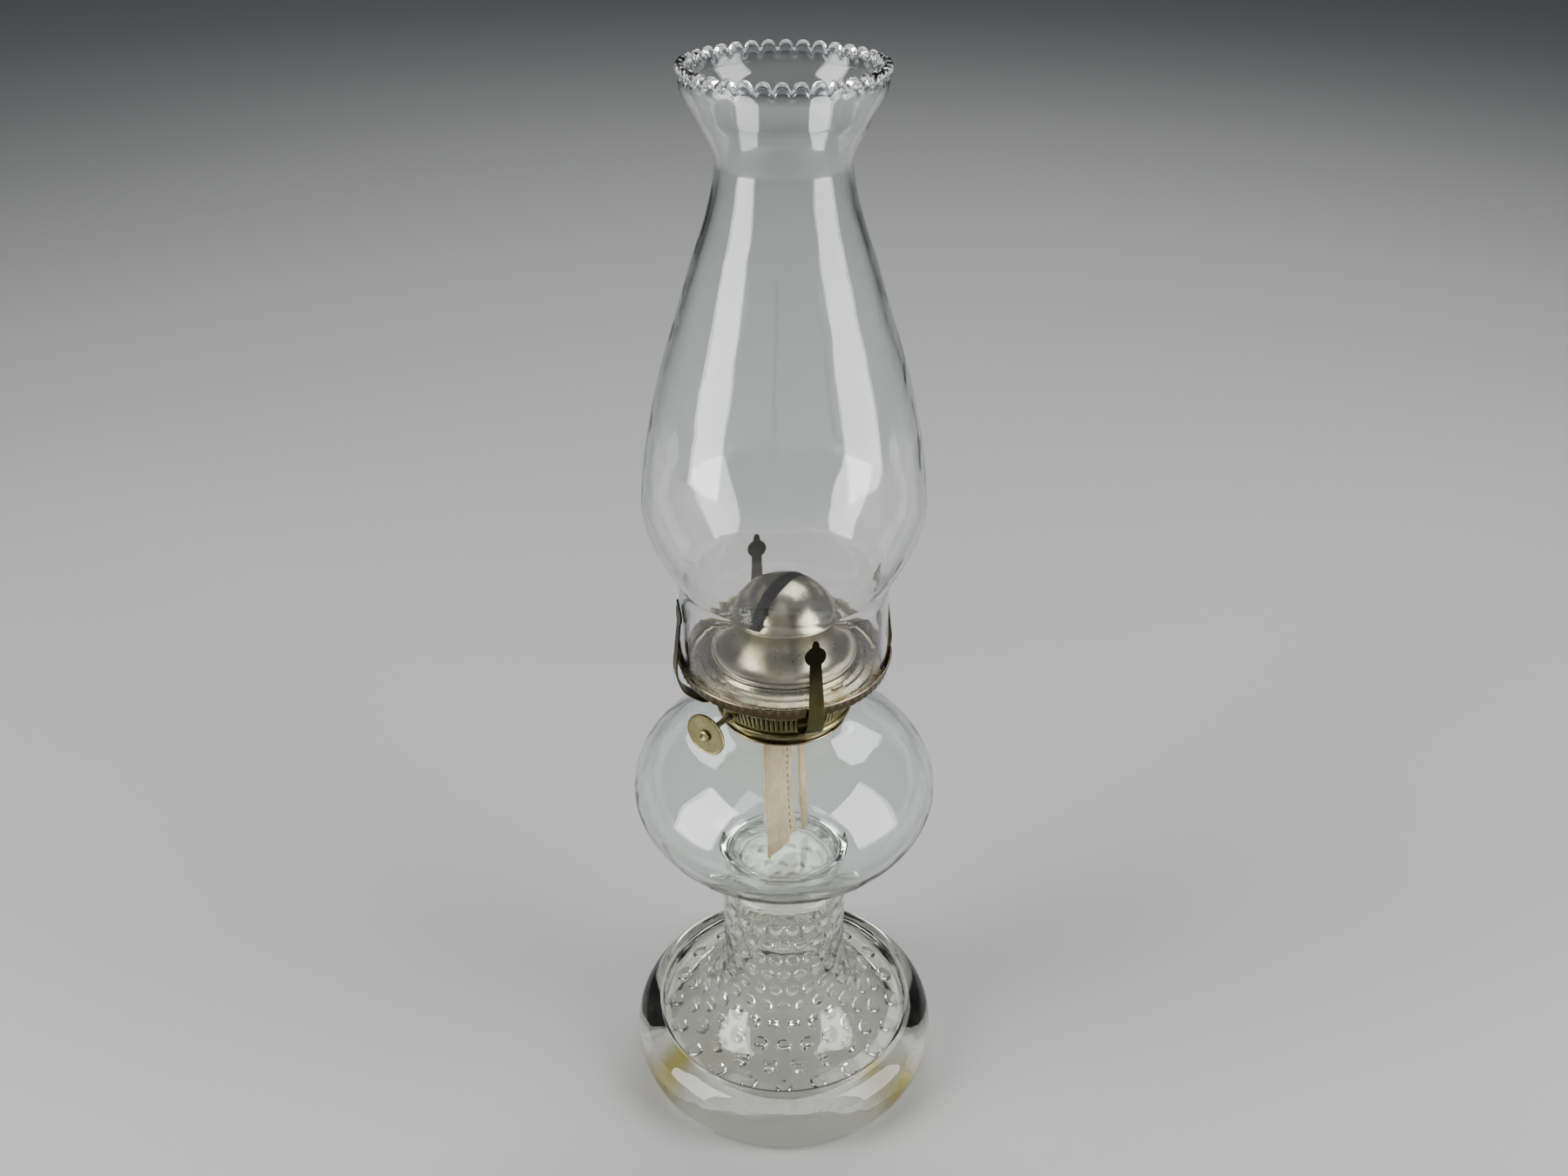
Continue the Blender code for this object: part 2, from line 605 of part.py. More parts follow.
def basket_slot_open(angle):
    """False beside the spindle, where the basket's wall stays whole around the bush."""
    spindle_angle = math.atan2(-math.sqrt(BASKET_FOOT_RADIUS ** 2 - SPINDLE_X ** 2), SPINDLE_X)
    turn = (angle - spindle_angle + math.pi) % (2 * math.pi) - math.pi
    return abs(turn) > BASKET_SOLID_HALF_ANGLE


def build_basket(finish, bush_cutter, rivet_cutters):
    """Flared ring of air slots between the screw base and the gallery."""
    slot_foot = BASKET_FOOT + BASKET_BAND
    heights = [BASKET_FOOT, slot_foot, slot_foot + BASKET_SLOT_HEIGHT, BASKET_TOP]
    columns = 2 * BASKET_SLOT_COUNT
    shape = bmesh.new()
    rings = []
    for z in heights:
        radius = basket_radius_at(z)
        ring = []
        for column in range(columns):
            angle = 2 * math.pi * column / columns
            ring.append(shape.verts.new((radius * math.cos(angle), radius * math.sin(angle), z)))
        rings.append(ring)
    for row, (lower, upper) in enumerate(zip(rings, rings[1:])):
        for column in range(columns):
            following = (column + 1) % columns
            middle_angle = 2 * math.pi * (column + 0.5) / columns
            if row == 1 and column % 2 == 0 and basket_slot_open(middle_angle):
                continue
            shape.faces.new((lower[column], lower[following], upper[following], upper[column]))
    basket = add_object("air_basket", shape, finish)
    wall = basket.modifiers.new("wall", "SOLIDIFY")
    wall.thickness = SHEET
    wall.offset = 0.0
    for cutter in [bush_cutter] + rivet_cutters:
        cut(basket, cutter)
    return basket


def build_gallery(finish):
    """Ledge for the bell, sloping plate, flat tray for the chimney and an upturned rim."""
    path = [
        (TRAY_RADIUS + GALLERY_RIM_FLARE, GALLERY_TRAY_HEIGHT + GALLERY_RIM_HEIGHT),
        (TRAY_RADIUS, GALLERY_TRAY_HEIGHT + SHEET),
        (TRAY_RADIUS - SHEET, GALLERY_TRAY_HEIGHT),
        (TRAY_RADIUS - GALLERY_TRAY_WIDTH, GALLERY_TRAY_HEIGHT),
        (GALLERY_STEP_RADIUS, gallery_height_at(GALLERY_STEP_RADIUS)),
        (GALLERY_LEDGE_RADIUS, GALLERY_LEDGE),
        (GALLERY_HOLE_RADIUS, GALLERY_LEDGE),
    ]
    return turned("gallery", sheet_outline(path), finish)


def build_bell(finish):
    flare = ellipse_arc(
        (BELL_FOOT_RADIUS - SHEET, BELL_FOOT + BELL_FLARE_HEIGHT),
        BELL_FOOT_RADIUS - SHEET - BELL_WAIST_RADIUS, BELL_FLARE_HEIGHT, 270, 180, 6,
    )
    path = [(BELL_FOOT_RADIUS, BELL_FOOT)] + flare + [(BELL_WAIST_RADIUS, BELL_TOP)]
    return turned("draught_bell", sheet_outline(path), finish)


def build_dome(finish):
    """Flame dome with a turned-in foot and the slot that the wick burns through."""
    path = [(DOME_RADIUS - DOME_FOOT_WIDTH, DOME_FOOT)]
    path += round_cap(DOME_RADIUS, DOME_HEIGHT, DOME_FOOT, 7)
    dome = turned("flame_dome", sheet_outline(path), finish)
    half = DOME_SLOT_WIDTH / 2
    low = (-half, -DOME_RADIUS - SHEET, DOME_FOOT + DOME_SLOT_SILL)
    high = (half, DOME_SLOT_BACK, DOME_FOOT + DOME_HEIGHT + SHEET)
    cut(dome, add_object("cutter_dome_slot", box_shape(low, high), finish))
    return dome


# ---------------------------------------------------------------- wick and winding gear


def spur_offsets():
    first = -SPUR_PITCH * (SPUR_COUNT - 1) / 2
    return [first + SPUR_PITCH * index for index in range(SPUR_COUNT)]


def build_wick_tube(finish):
    """Flat tube around the wick, open at both ends, with a window for each spur wheel."""
    inner = tube_plan(TUBE_HALF_WIDTH, TUBE_HALF_THICKNESS)
    outer = tube_plan(TUBE_HALF_WIDTH + SHEET, TUBE_HALF_THICKNESS + SHEET)
    shape = bmesh.new()
    rings = []
    top = TUBE_TOP_HEIGHT
    for plan, z in ((inner, TUBE_FOOT), (outer, TUBE_FOOT), (outer, top), (inner, top)):
        rings.append([shape.verts.new((x, y, z)) for x, y in plan])
    count = len(inner)
    for ring, following in zip(rings, rings[1:] + rings[:1]):
        for index in range(count):
            beside = (index + 1) % count
            shape.faces.new((ring[index], ring[beside], following[beside], following[index]))
    tube = add_object("wick_tube", shape, finish)
    outer_face = -(TUBE_HALF_THICKNESS + SHEET)
    reach = math.sqrt(SPUR_RADIUS ** 2 - (SPINDLE_X - outer_face) ** 2)
    for index, offset in enumerate(spur_offsets()):
        half = SPUR_THICKNESS / 2 + 2 * CLEARANCE
        height = reach + 2 * CLEARANCE
        low = (outer_face - SHEET, offset - half, SPINDLE_HEIGHT - height)
        high = (0.0, offset + half, SPINDLE_HEIGHT + height)
        cut(tube, add_object(f"cutter_window_{index + 1}", box_shape(low, high), finish))
    return tube


def build_housing(finish, bore_cutter):
    """Box soldered to the wick tube's side, around the spur wheels."""
    reach = SPUR_RADIUS + HOUSING_ROOM
    face = -(TUBE_HALF_THICKNESS + SHEET + CLEARANCE)
    end = spur_offsets()[-1] + SPUR_THICKNESS / 2 + HOUSING_ROOM
    low = (SPINDLE_X - reach, -end, SPINDLE_HEIGHT - reach)
    high = (face, end, SPINDLE_HEIGHT + reach)
    shape = box_shape(low, high)
    mouth = [side for side in shape.faces if side.calc_center_median().x > SPINDLE_X]
    bmesh.ops.inset_region(shape, faces=mouth, thickness=SHEET, use_even_offset=True)
    hollow = bmesh.ops.extrude_face_region(shape, geom=mouth)
    floor = [item for item in hollow["geom"] if isinstance(item, bmesh.types.BMVert)]
    bmesh.ops.delete(shape, geom=mouth, context="FACES_ONLY")
    bmesh.ops.translate(shape, verts=floor, vec=(SPINDLE_X - reach + SHEET - face, 0, 0))
    housing = add_object("spur_housing", shape, finish)
    cut(housing, bore_cutter)
    return housing, end


def build_wick(finish):
    """Flat woven wick with one long slit, which leaves a broad and a thin tail."""
    half = WICK_WIDTH / 2
    thin = half - WICK_THIN_TAIL_WIDTH
    broad = thin - WICK_SLIT_WIDTH
    slit_top = WICK_END_HEIGHT + WICK_SLIT_HEIGHT
    thin_end = WICK_END_HEIGHT + WICK_THIN_TAIL_LIFT
    outline = [(-half, WICK_END_HEIGHT), (broad, WICK_END_HEIGHT), (broad, slit_top)]
    outline += [(thin, slit_top), (thin, thin_end), (half, thin_end)]
    outline += [(half, WICK_TOP), (-half, WICK_TOP)]
    shape = extruded_shape(outline, -WICK_THICKNESS / 2, WICK_THICKNESS / 2)
    upright = Matrix(((0, 0, 1), (1, 0, 0), (0, 1, 0)))
    bmesh.ops.transform(shape, matrix=upright.to_4x4(), verts=shape.verts)
    return add_object("wick", shape, finish)


def toothed_shape(radius, root_radius, teeth, bottom, top):
    """Wheel with pointed teeth, before its bore is cut."""
    outline = []
    for tooth in range(teeth):
        for share, reach in ((0.0, root_radius), (0.5, radius)):
            angle = 2 * math.pi * (tooth + share) / teeth
            outline.append((reach * math.cos(angle), reach * math.sin(angle)))
    return extruded_shape(outline, bottom, top)


def build_spindle_group(finishes, axis, housing_end):
    """Spindle, spur wheels, thumbwheel, its riveted cap and the bush, on one axis."""
    wheel_back = WHEEL_REACH - WHEEL_THICKNESS / 2
    wheel_front = WHEEL_REACH + WHEEL_THICKNESS / 2
    shoulder_top = wheel_back - CLEARANCE
    shoulder_foot = shoulder_top - SPINDLE_SHOULDER_LENGTH
    tail = -(housing_end + SPINDLE_TAIL)
    outline = [(0.0, tail), (SPINDLE_RADIUS, tail), (SPINDLE_RADIUS, shoulder_foot)]
    outline += [(SPINDLE_SHOULDER_RADIUS, shoulder_foot), (SPINDLE_SHOULDER_RADIUS, shoulder_top)]
    outline += [(SPINDLE_RADIUS, shoulder_top), (SPINDLE_RADIUS, wheel_front), (0.0, wheel_front)]
    put_on(axis, turned("spindle", outline, finishes["steel"], SMALL_SEGMENTS))

    bore = rod_shape(SPINDLE_BORE, -WHEEL_REACH, 2 * WHEEL_REACH)
    bore_cutter = add_object("cutter_spindle_bore", bore, finishes["steel"])
    put_on(axis, bore_cutter)
    for index, offset in enumerate(spur_offsets()):
        half = SPUR_THICKNESS / 2
        shape = toothed_shape(SPUR_RADIUS, SPUR_ROOT_RADIUS, SPUR_TEETH, -half, half)
        spur = add_object(f"spur_wheel_{index + 1}", shape, finishes["brass"])
        put_on(axis, spur, -offset)
        cut(spur, bore_cutter)

    half = WHEEL_THICKNESS / 2
    knurl_root = WHEEL_RADIUS - WHEEL_KNURL_DEPTH
    knurl = toothed_shape(WHEEL_RADIUS, knurl_root, WHEEL_KNURL_COUNT, -half, half)
    wheel = add_object("thumbwheel", knurl, finishes["brass"])
    put_on(axis, wheel, WHEEL_REACH)
    cut(wheel, bore_cutter)

    cap_foot = CLEARANCE
    cap_top = cap_foot + RIVET_CAP_HEIGHT
    cap_edge = cap_foot + RIVET_CAP_HEIGHT / 3
    outline = [(0.0, cap_foot), (RIVET_CAP_RADIUS, cap_foot), (RIVET_CAP_RADIUS, cap_edge)]
    outline += [(RIVET_RIDGE_RADIUS, cap_top), (RIVET_DIMPLE_RADIUS, cap_top)]
    outline += [(RIVET_DIMPLE_RADIUS * 2 / 3, cap_edge), (0.0, cap_edge)]
    rivet = turned("thumbwheel_rivet", outline, finishes["brass"], SMALL_SEGMENTS)
    put_on(axis, rivet, wheel_front)
    return bore_cutter


def build_bush(finish, axis):
    """Flanged bush in the basket's wall, which carries the spindle's outer end."""
    tube_radius = SPINDLE_BORE + BUSH_WALL
    flange_radius = tube_radius + BUSH_FLANGE_WIDTH
    highest = SPINDLE_HEIGHT + flange_radius
    flange_foot = basket_radius_at(highest) + SHEET / 2 + CLEARANCE
    flange_top = flange_foot + SHEET
    foot = flange_top - BUSH_LENGTH
    outline = [(SPINDLE_BORE, foot), (tube_radius, foot), (tube_radius, flange_foot)]
    outline += [(flange_radius, flange_foot), (flange_radius, flange_top)]
    outline += [(SPINDLE_BORE, flange_top)]
    put_on(axis, turned("spindle_bush", outline, finish, SMALL_SEGMENTS))
    hole = rod_shape(tube_radius + CLEARANCE, foot - CUTTER_REACH, flange_top + CUTTER_REACH)
    cutter = add_object("cutter_bush_hole", hole, finish)
    put_on(axis, cutter)
    return cutter


# ---------------------------------------------------------------- spring prongs


def prong_root_path():
    """Tab along the basket's wall, down and out to the bend where the spring starts."""
    away = SHEET / 2 + CLEARANCE + PRONG_THICKNESS / 2 + PRONG_LEAN_ROOM
    tab_top = BASKET_TOP - BASKET_BAND
    tab_foot = tab_top - PRONG_TAB_HEIGHT
    bend = (basket_radius_at(PRONG_BEND_HEIGHT) + away, PRONG_BEND_HEIGHT)
    low = (bend[0] + PRONG_BEND_REACH, PRONG_BEND_HEIGHT - PRONG_BEND_DROP)
    middle = (basket_radius_at(tab_foot) + away, tab_foot)
    hinge = (bend[0] + PRONG_HINGE_REACH, PRONG_BEND_HEIGHT - PRONG_HINGE_DROP)
    return [(basket_radius_at(tab_top) + away, tab_top), middle, bend, low, hinge]


def prong_hinge():
    return prong_root_path()[-1]


def prong_leaf_path():
    """Spring from the hinge line, round the gallery's rim and in to the chimney."""
    hinge = prong_hinge()
    rim = TRAY_RADIUS + GALLERY_RIM_FLARE + SHEET / 2 + PRONG_RIM_ROOM + PRONG_THICKNESS / 2
    rim_top = GALLERY_TRAY_HEIGHT + GALLERY_RIM_HEIGHT
    touch = CHIMNEY_FITTER_RADIUS + CLEARANCE + PRONG_THICKNESS / 2 + PRONG_LEAN_ROOM
    tip = PRONG_BALL_HEIGHT + PRONG_BALL_RADIUS + PRONG_NUB_LENGTH
    stations = [
        (hinge[0] + CLEARANCE, hinge[1]),
        (hinge[0] + PRONG_HEEL_SHARE * (rim - hinge[0]), hinge[1] + PRONG_HEEL_RISE),
        (rim - PRONG_ELBOW_INSET, GALLERY_TRAY_HEIGHT - PRONG_ELBOW_DROP),
        (rim, rim_top - PRONG_RIM_DROP),
        (rim - PRONG_WAIST_INSET, rim_top + PRONG_WAIST_RISE),
        (touch, PRONG_BALL_HEIGHT),
        (touch + PRONG_TIP_OUT, tip),
    ]
    return smooth_path(stations, PRONG_PATH_STEPS, start_direction=(1.0, 0.1))


def prong_width_at(z):
    """Width of the spring at a height: it narrows to a neck, then a round ball and a nub."""
    rim_top = GALLERY_TRAY_HEIGHT + GALLERY_RIM_HEIGHT
    foot = prong_hinge()[1]
    neck = PRONG_BALL_HEIGHT - PRONG_BALL_RADIUS
    if z < rim_top:
        share = (z - foot) / (rim_top - foot)
        return PRONG_ROOT_WIDTH + (PRONG_MIDDLE_WIDTH - PRONG_ROOT_WIDTH) * share
    if z < neck:
        share = (z - rim_top) / (neck - rim_top)
        return PRONG_MIDDLE_WIDTH + (PRONG_NECK_WIDTH - PRONG_MIDDLE_WIDTH) * share
    rise = (z - PRONG_BALL_HEIGHT) / PRONG_BALL_RADIUS
    round_width = 2 * PRONG_BALL_RADIUS * math.sqrt(max(0.0, 1 - rise ** 2))
    least = PRONG_NECK_WIDTH if rise < 0 else PRONG_NUB_WIDTH
    return max(round_width, least)


def strip_shape(path, widths):
    """Sheet strip: each station of the path (r, z) is as wide as given along Y."""
    shape = bmesh.new()
    edges = []
    for (r, z), width in zip(path, widths):
        edges.append([shape.verts.new((r, side * width / 2, z)) for side in (-1, 1)])
    for here, there in zip(edges, edges[1:]):
        shape.faces.new((here[0], there[0], there[1], here[1]))
    return shape


def thicken(strip):
    wall = strip.modifiers.new("wall", "SOLIDIFY")
    wall.thickness = PRONG_THICKNESS
    wall.offset = 0.0


def refined_leaf():
    """Leaf path with extra stations around the ball, so that its round outline shows."""
    path = prong_leaf_path()
    below = [point for point in path if point[1] < PRONG_BALL_HEIGHT - PRONG_BALL_RADIUS]
    touch = path[-1 - PRONG_PATH_STEPS][0]
    tip = path[-1]
    for step in range(-BALL_STEPS, BALL_STEPS + 1):
        turn = step / BALL_STEPS * math.pi / 2
        z = PRONG_BALL_HEIGHT + PRONG_BALL_RADIUS * math.sin(turn)
        share = (z - PRONG_BALL_HEIGHT) / (tip[1] - PRONG_BALL_HEIGHT)
        below.append((touch + (tip[0] - touch) * max(0.0, share), z))
    return below + [tip]


def build_prong(index, finishes):
    """One riveted root, its spring leaf and its rivet; returns the rivet hole's cutter."""
    number = index + 1
    turn = PRONG_FIRST_ANGLE + index * 2 * math.pi / PRONG_COUNT - math.pi / 2
    place = Matrix.Rotation(turn, 4, "Z")
    hinge = prong_hinge()
    socket = add_empty(f"prong_socket_{number}", place)
    axis = add_empty(f"prong_axis_{number}", place @ Matrix.Translation((hinge[0], 0, hinge[1])))

    root_path = prong_root_path()
    root_shape = strip_shape(root_path, [PRONG_ROOT_WIDTH] * len(root_path))
    root = add_object(f"prong_root_{number}", root_shape, finishes["prong"])
    put_on(socket, root)
    thicken(root)

    leaf_path = refined_leaf()
    leaf_shape = strip_shape(leaf_path, [prong_width_at(z) for r, z in leaf_path])
    bmesh.ops.translate(leaf_shape, verts=leaf_shape.verts, vec=(-hinge[0], 0, -hinge[1]))
    leaf = add_object(f"prong_{number}", leaf_shape, finishes["prong"])
    put_on(axis, leaf)
    thicken(leaf)

    rivet_height = root_path[0][1] - PRONG_TAB_HEIGHT / 2
    lean = math.atan(BASKET_SLOPE)
    out = Matrix.Translation((basket_radius_at(rivet_height), 0, rivet_height))
    rivet_place = place @ out @ Matrix.Rotation(math.pi / 2 + lean, 4, "Y")
    rivet_axis = add_empty(f"rivet_axis_{number}", rivet_place)
    inner_face = -(SHEET / 2 + CLEARANCE)
    outer_face = SHEET / 2 + 2 * CLEARANCE + PRONG_THICKNESS + PRONG_LEAN_ROOM
    inner_end = inner_face - PRONG_RIVET_HEAD_HEIGHT
    outer_end = outer_face + PRONG_RIVET_HEAD_HEIGHT
    head = PRONG_RIVET_HEAD_RADIUS
    crown = PRONG_RIVET_CROWN_RADIUS
    outline = [(0.0, inner_end), (crown, inner_end), (head, inner_face)]
    outline += [(PRONG_SHANK_RADIUS, inner_face), (PRONG_SHANK_RADIUS, outer_face)]
    outline += [(head, outer_face), (crown, outer_end), (0.0, outer_end)]
    put_on(rivet_axis, turned(f"prong_rivet_{number}", outline, finishes["brass"], SMALL_SEGMENTS))
    hole_radius = PRONG_SHANK_RADIUS + CLEARANCE
    hole = rod_shape(hole_radius, inner_face - CUTTER_REACH, outer_face + CUTTER_REACH)
    cutter = add_object(f"cutter_rivet_{number}", hole, finishes["brass"])
    put_on(rivet_axis, cutter)
    cut(root, cutter)
    return cutter


# ---------------------------------------------------------------- the lamp


def build_materials():
    return {
        "pressed_glass": material("pressed_glass", (0.93, 0.95, 0.88), 0.02, 0.0, 1.0),
        "blown_glass": material("blown_glass", (0.95, 0.98, 0.95), 0.02, 0.0, 1.0),
        "nickel": material("nickel", (0.72, 0.69, 0.60), 0.28, 1.0),
        "brass": material("brass", (0.62, 0.57, 0.38), 0.35, 1.0),
        "prong": material("prong", (0.40, 0.38, 0.25), 0.42, 1.0),
        "steel": material("steel", (0.50, 0.48, 0.42), 0.35, 1.0),
        "cement": material("cement", (0.80, 0.78, 0.72), 0.90, 0.0),
        "cotton": material("cotton", (0.80, 0.68, 0.48), 0.95, 0.0),
    }


def main():
    clear_objects()
    finishes = build_materials()

    build_foot(finishes["pressed_glass"])
    build_font(finishes["blown_glass"])
    build_cement(finishes["cement"])
    build_collar(finishes["brass"])
    build_base(finishes["brass"])
    build_gallery(finishes["nickel"])
    build_bell(finishes["nickel"])
    build_dome(finishes["nickel"])
    build_chimney(finishes["blown_glass"])
    build_wick(finishes["cotton"])
    build_wick_tube(finishes["brass"])

    outward = Matrix.Rotation(math.pi / 2, 4, "X")
    axis = add_empty("spindle_axis", Matrix.Translation((SPINDLE_X, 0, SPINDLE_HEIGHT)) @ outward)
    housing_end = spur_offsets()[-1] + SPUR_THICKNESS / 2 + HOUSING_ROOM
    bore_cutter = build_spindle_group(finishes, axis, housing_end)
    build_housing(finishes["brass"], bore_cutter)
    bush_cutter = build_bush(finishes["brass"], axis)
    rivet_cutters = [build_prong(index, finishes) for index in range(PRONG_COUNT)]
    build_basket(finishes["brass"], bush_cutter, rivet_cutters)


main()
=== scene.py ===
"""Detailed look of a flat-wick oil lamp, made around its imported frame.

Every piece is modelled in metres in the frame's own axes: +Z up the lamp, the wick's width and the
winding spindle along Y, and the thumbwheel towards -Y. Each operator makes one piece or one group
of like pieces, gives it a procedural material and hangs it on the body that carries it.
"""

import math

import bmesh
import bpy
from mathutils import Matrix, Vector, noise


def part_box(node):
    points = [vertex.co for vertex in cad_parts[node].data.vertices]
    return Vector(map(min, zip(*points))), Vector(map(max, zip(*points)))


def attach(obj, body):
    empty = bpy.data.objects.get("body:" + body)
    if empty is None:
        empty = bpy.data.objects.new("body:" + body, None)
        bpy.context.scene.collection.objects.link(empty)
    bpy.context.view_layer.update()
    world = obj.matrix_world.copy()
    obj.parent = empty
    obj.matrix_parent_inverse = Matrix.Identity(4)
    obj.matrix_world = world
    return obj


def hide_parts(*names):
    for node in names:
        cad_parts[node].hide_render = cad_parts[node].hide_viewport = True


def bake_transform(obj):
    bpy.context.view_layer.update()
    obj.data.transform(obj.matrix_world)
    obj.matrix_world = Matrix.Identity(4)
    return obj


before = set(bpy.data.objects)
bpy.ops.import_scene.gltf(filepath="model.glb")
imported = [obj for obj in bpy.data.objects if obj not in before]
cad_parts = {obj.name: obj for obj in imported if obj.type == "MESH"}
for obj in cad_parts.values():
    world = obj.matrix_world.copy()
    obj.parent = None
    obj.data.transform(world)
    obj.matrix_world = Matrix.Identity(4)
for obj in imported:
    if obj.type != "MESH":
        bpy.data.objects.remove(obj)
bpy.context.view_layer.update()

bl_info = {
    "name": "Flat-Wick Oil Lamp",
    "version": (1, 0, 0),
    "blender": (4, 5, 0),
    "location": "3D View > Sidebar > Oil Lamp",
    "description": "Builds the glass, burner, wick and chimney of an oil lamp",
    "category": "Add Mesh",
}

MM = 0.001
MERGE = 0.002 * MM
TURN = 2 * math.pi

BOXES = {name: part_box(name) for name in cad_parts}
FONT_BOTTOM = BOXES["glass_font"][0].z
NECK_TOP = BOXES["glass_font"][1].z
FOOT_TOP = BOXES["glass_foot"][1].z
CHIMNEY_FOOT = BOXES["chimney"][0].z
SPINDLE_X = (BOXES["spindle"][0].x + BOXES["spindle"][1].x) / 2
SPINDLE_Z = (BOXES["spindle"][0].z + BOXES["spindle"][1].z) / 2
PRONG_TURNS = [math.radians(90 * quarter - 38) for quarter in range(4)]
CHAR_BLACK = (0.012, 0.011, 0.010)
# Colour of glass seen edge-on: partly the glass's own tint along a longer path, partly painted
# shade standing in for the dark surroundings seen at glass edges.
GLASS_EDGE_TINT_AND_SHADE = (0.20, 0.27, 0.22)


# ---------------------------------------------------------------- properties


def length(label, about, value):
    """A length property in metres."""
    return bpy.props.FloatProperty(
        name=label, description=about, default=value, min=0.0, unit="LENGTH", precision=5
    )


def count(label, about, value):
    return bpy.props.IntProperty(name=label, description=about, default=value, min=1)


def colour(label, about, value):
    return bpy.props.FloatVectorProperty(
        name=label, description=about, default=value, size=3, min=0.0, max=1.0, subtype="COLOR"
    )


class GlassSizes(bpy.types.PropertyGroup):
    """Sizes of the foot, the font and the chimney."""

    foot_radius: length("Foot radius", "Widest radius of the pressed foot", 0.0635)
    foot_rest: length("Rest radius", "Outer radius of the ring the lamp stands on", 0.056)
    foot_rest_width: length("Rest width", "Width of the ring the lamp stands on", 0.0035)
    foot_belly: length("Belly height", "Height of the foot's widest line", 0.0155)
    ridge_radius: length("Ridge radius", "Radius of the raised ridge on the foot", 0.053)
    ridge_height: length("Ridge height", "Height of the raised ridge on the foot", 0.0285)
    groove: length("Groove", "Width and depth of the groove inside the ridge", 0.0022)
    foot_wall: length("Foot wall", "Wall of the pressed foot", 0.005)
    stem_radius: length("Stem radius", "Radius of the straight stem", 0.025)
    stem_waist: length("Stem waist", "Height where the skirt meets the stem", 0.061)
    stem_cap: length("Stem cap", "Glass between the stem's hollow and its top", 0.006)
    dot_columns: count("Dot columns", "Dots in each ring of the pressed pattern", 20)
    dot_spacing: length("Dot spacing", "Distance between rings of dots along the wall", 0.0085)
    dot_radius: length("Dot radius", "Radius of a pressed dot", 0.0033)
    dot_height: length("Dot height", "How far a dot stands out of the inner wall", 0.0016)
    font_radius: length("Font radius", "Widest radius of the font", 0.0584)
    font_equator: length("Font equator", "Rise of the widest line above the font's base", 0.0403)
    font_upper: length("Upper half", "Height of the font's upper half curve", 0.0376)
    font_lower: length("Lower half", "Height of the font's lower half curve", 0.0386)
    font_pad: length("Font pad", "Radius of the font's base", 0.0246)
    font_wall: length("Font wall", "Wall of the blown font", 0.0026)
    font_floor: length("Font floor", "Glass under the oil", 0.0055)
    neck_radius: length("Neck radius", "Outer radius of the font's neck", 0.0194)
    neck_wall: length("Neck wall", "Wall of the font's neck", 0.0022)
    chimney_wall: length("Chimney wall", "Wall of the chimney", 0.0018)
    chimney_bead: length("Rim bead", "Radius of the thickened chimney rim", 0.00135)
    crimp_count: count("Crimps", "Lobes around the crimped chimney rim", 36)
    crimp_height: length("Crimp height", "Height of the lobes along the rim", 0.0022)


class BurnerSizes(bpy.types.PropertyGroup):
    """Sizes of the burner, the gallery and the winding gear."""

    sheet: length("Sheet", "Thickness of the sheet brass", 0.0005)
    collar_flare: length("Collar flare", "Radius of the collar's lower edge", 0.0238)
    collar_top: length("Collar top", "Radius of the collar's plate", 0.021)
    lip_radius: length("Lip radius", "Radius of the burner's rolled lip", 0.0254)
    basket_foot: length("Basket foot", "Radius of the air basket's lower edge", 0.0246)
    basket_top: length("Basket top", "Radius of the air basket's upper edge", 0.0298)
    basket_slots: count("Air slots", "Slots around the air basket", 92)
    rim_flutes: count("Rim flutes", "Flutes around the gallery's rim", 76)
    bell_foot: length("Bell foot", "Radius of the draught bell's foot", 0.0266)
    bell_waist: length("Bell waist", "Radius of the draught bell's waist", 0.0174)
    dome_radius: length("Dome radius", "Radius of the flame dome", 0.01855)
    dome_height: length("Dome height", "Height of the flame dome", 0.0108)
    slot_width: length("Dome slot", "Width of the slot in the flame dome", 0.0054)
    slot_back: length("Slot back", "How far the slot runs past the dome's middle", 0.0152)
    wheel_radius: length("Wheel radius", "Radius of the thumbwheel", 0.0082)
    wheel_thickness: length("Wheel thickness", "Thickness of the thumbwheel", 0.0014)
    wheel_knurls: count("Wheel knurls", "Notches around the thumbwheel", 56)
    prong_thickness: length("Prong thickness", "Thickness of the spring strip", 0.0006)
    prong_ball: length("Prong ball", "Radius of the prong's round end", 0.0038)


class WickSizes(bpy.types.PropertyGroup):
    """Sizes of the flat wick."""

    width: length("Wick width", "Width of the wick", 0.0254)
    thickness: length("Wick thickness", "Thickness of the woven wick", 0.0014)
    thin_tail: length("Thin tail", "Width of the torn-off tail", 0.0032)
    slit: length("Slit", "Width of the slit between the tails", 0.0046)
    slit_top: length("Slit top", "Height of the top of the slit", 0.167)


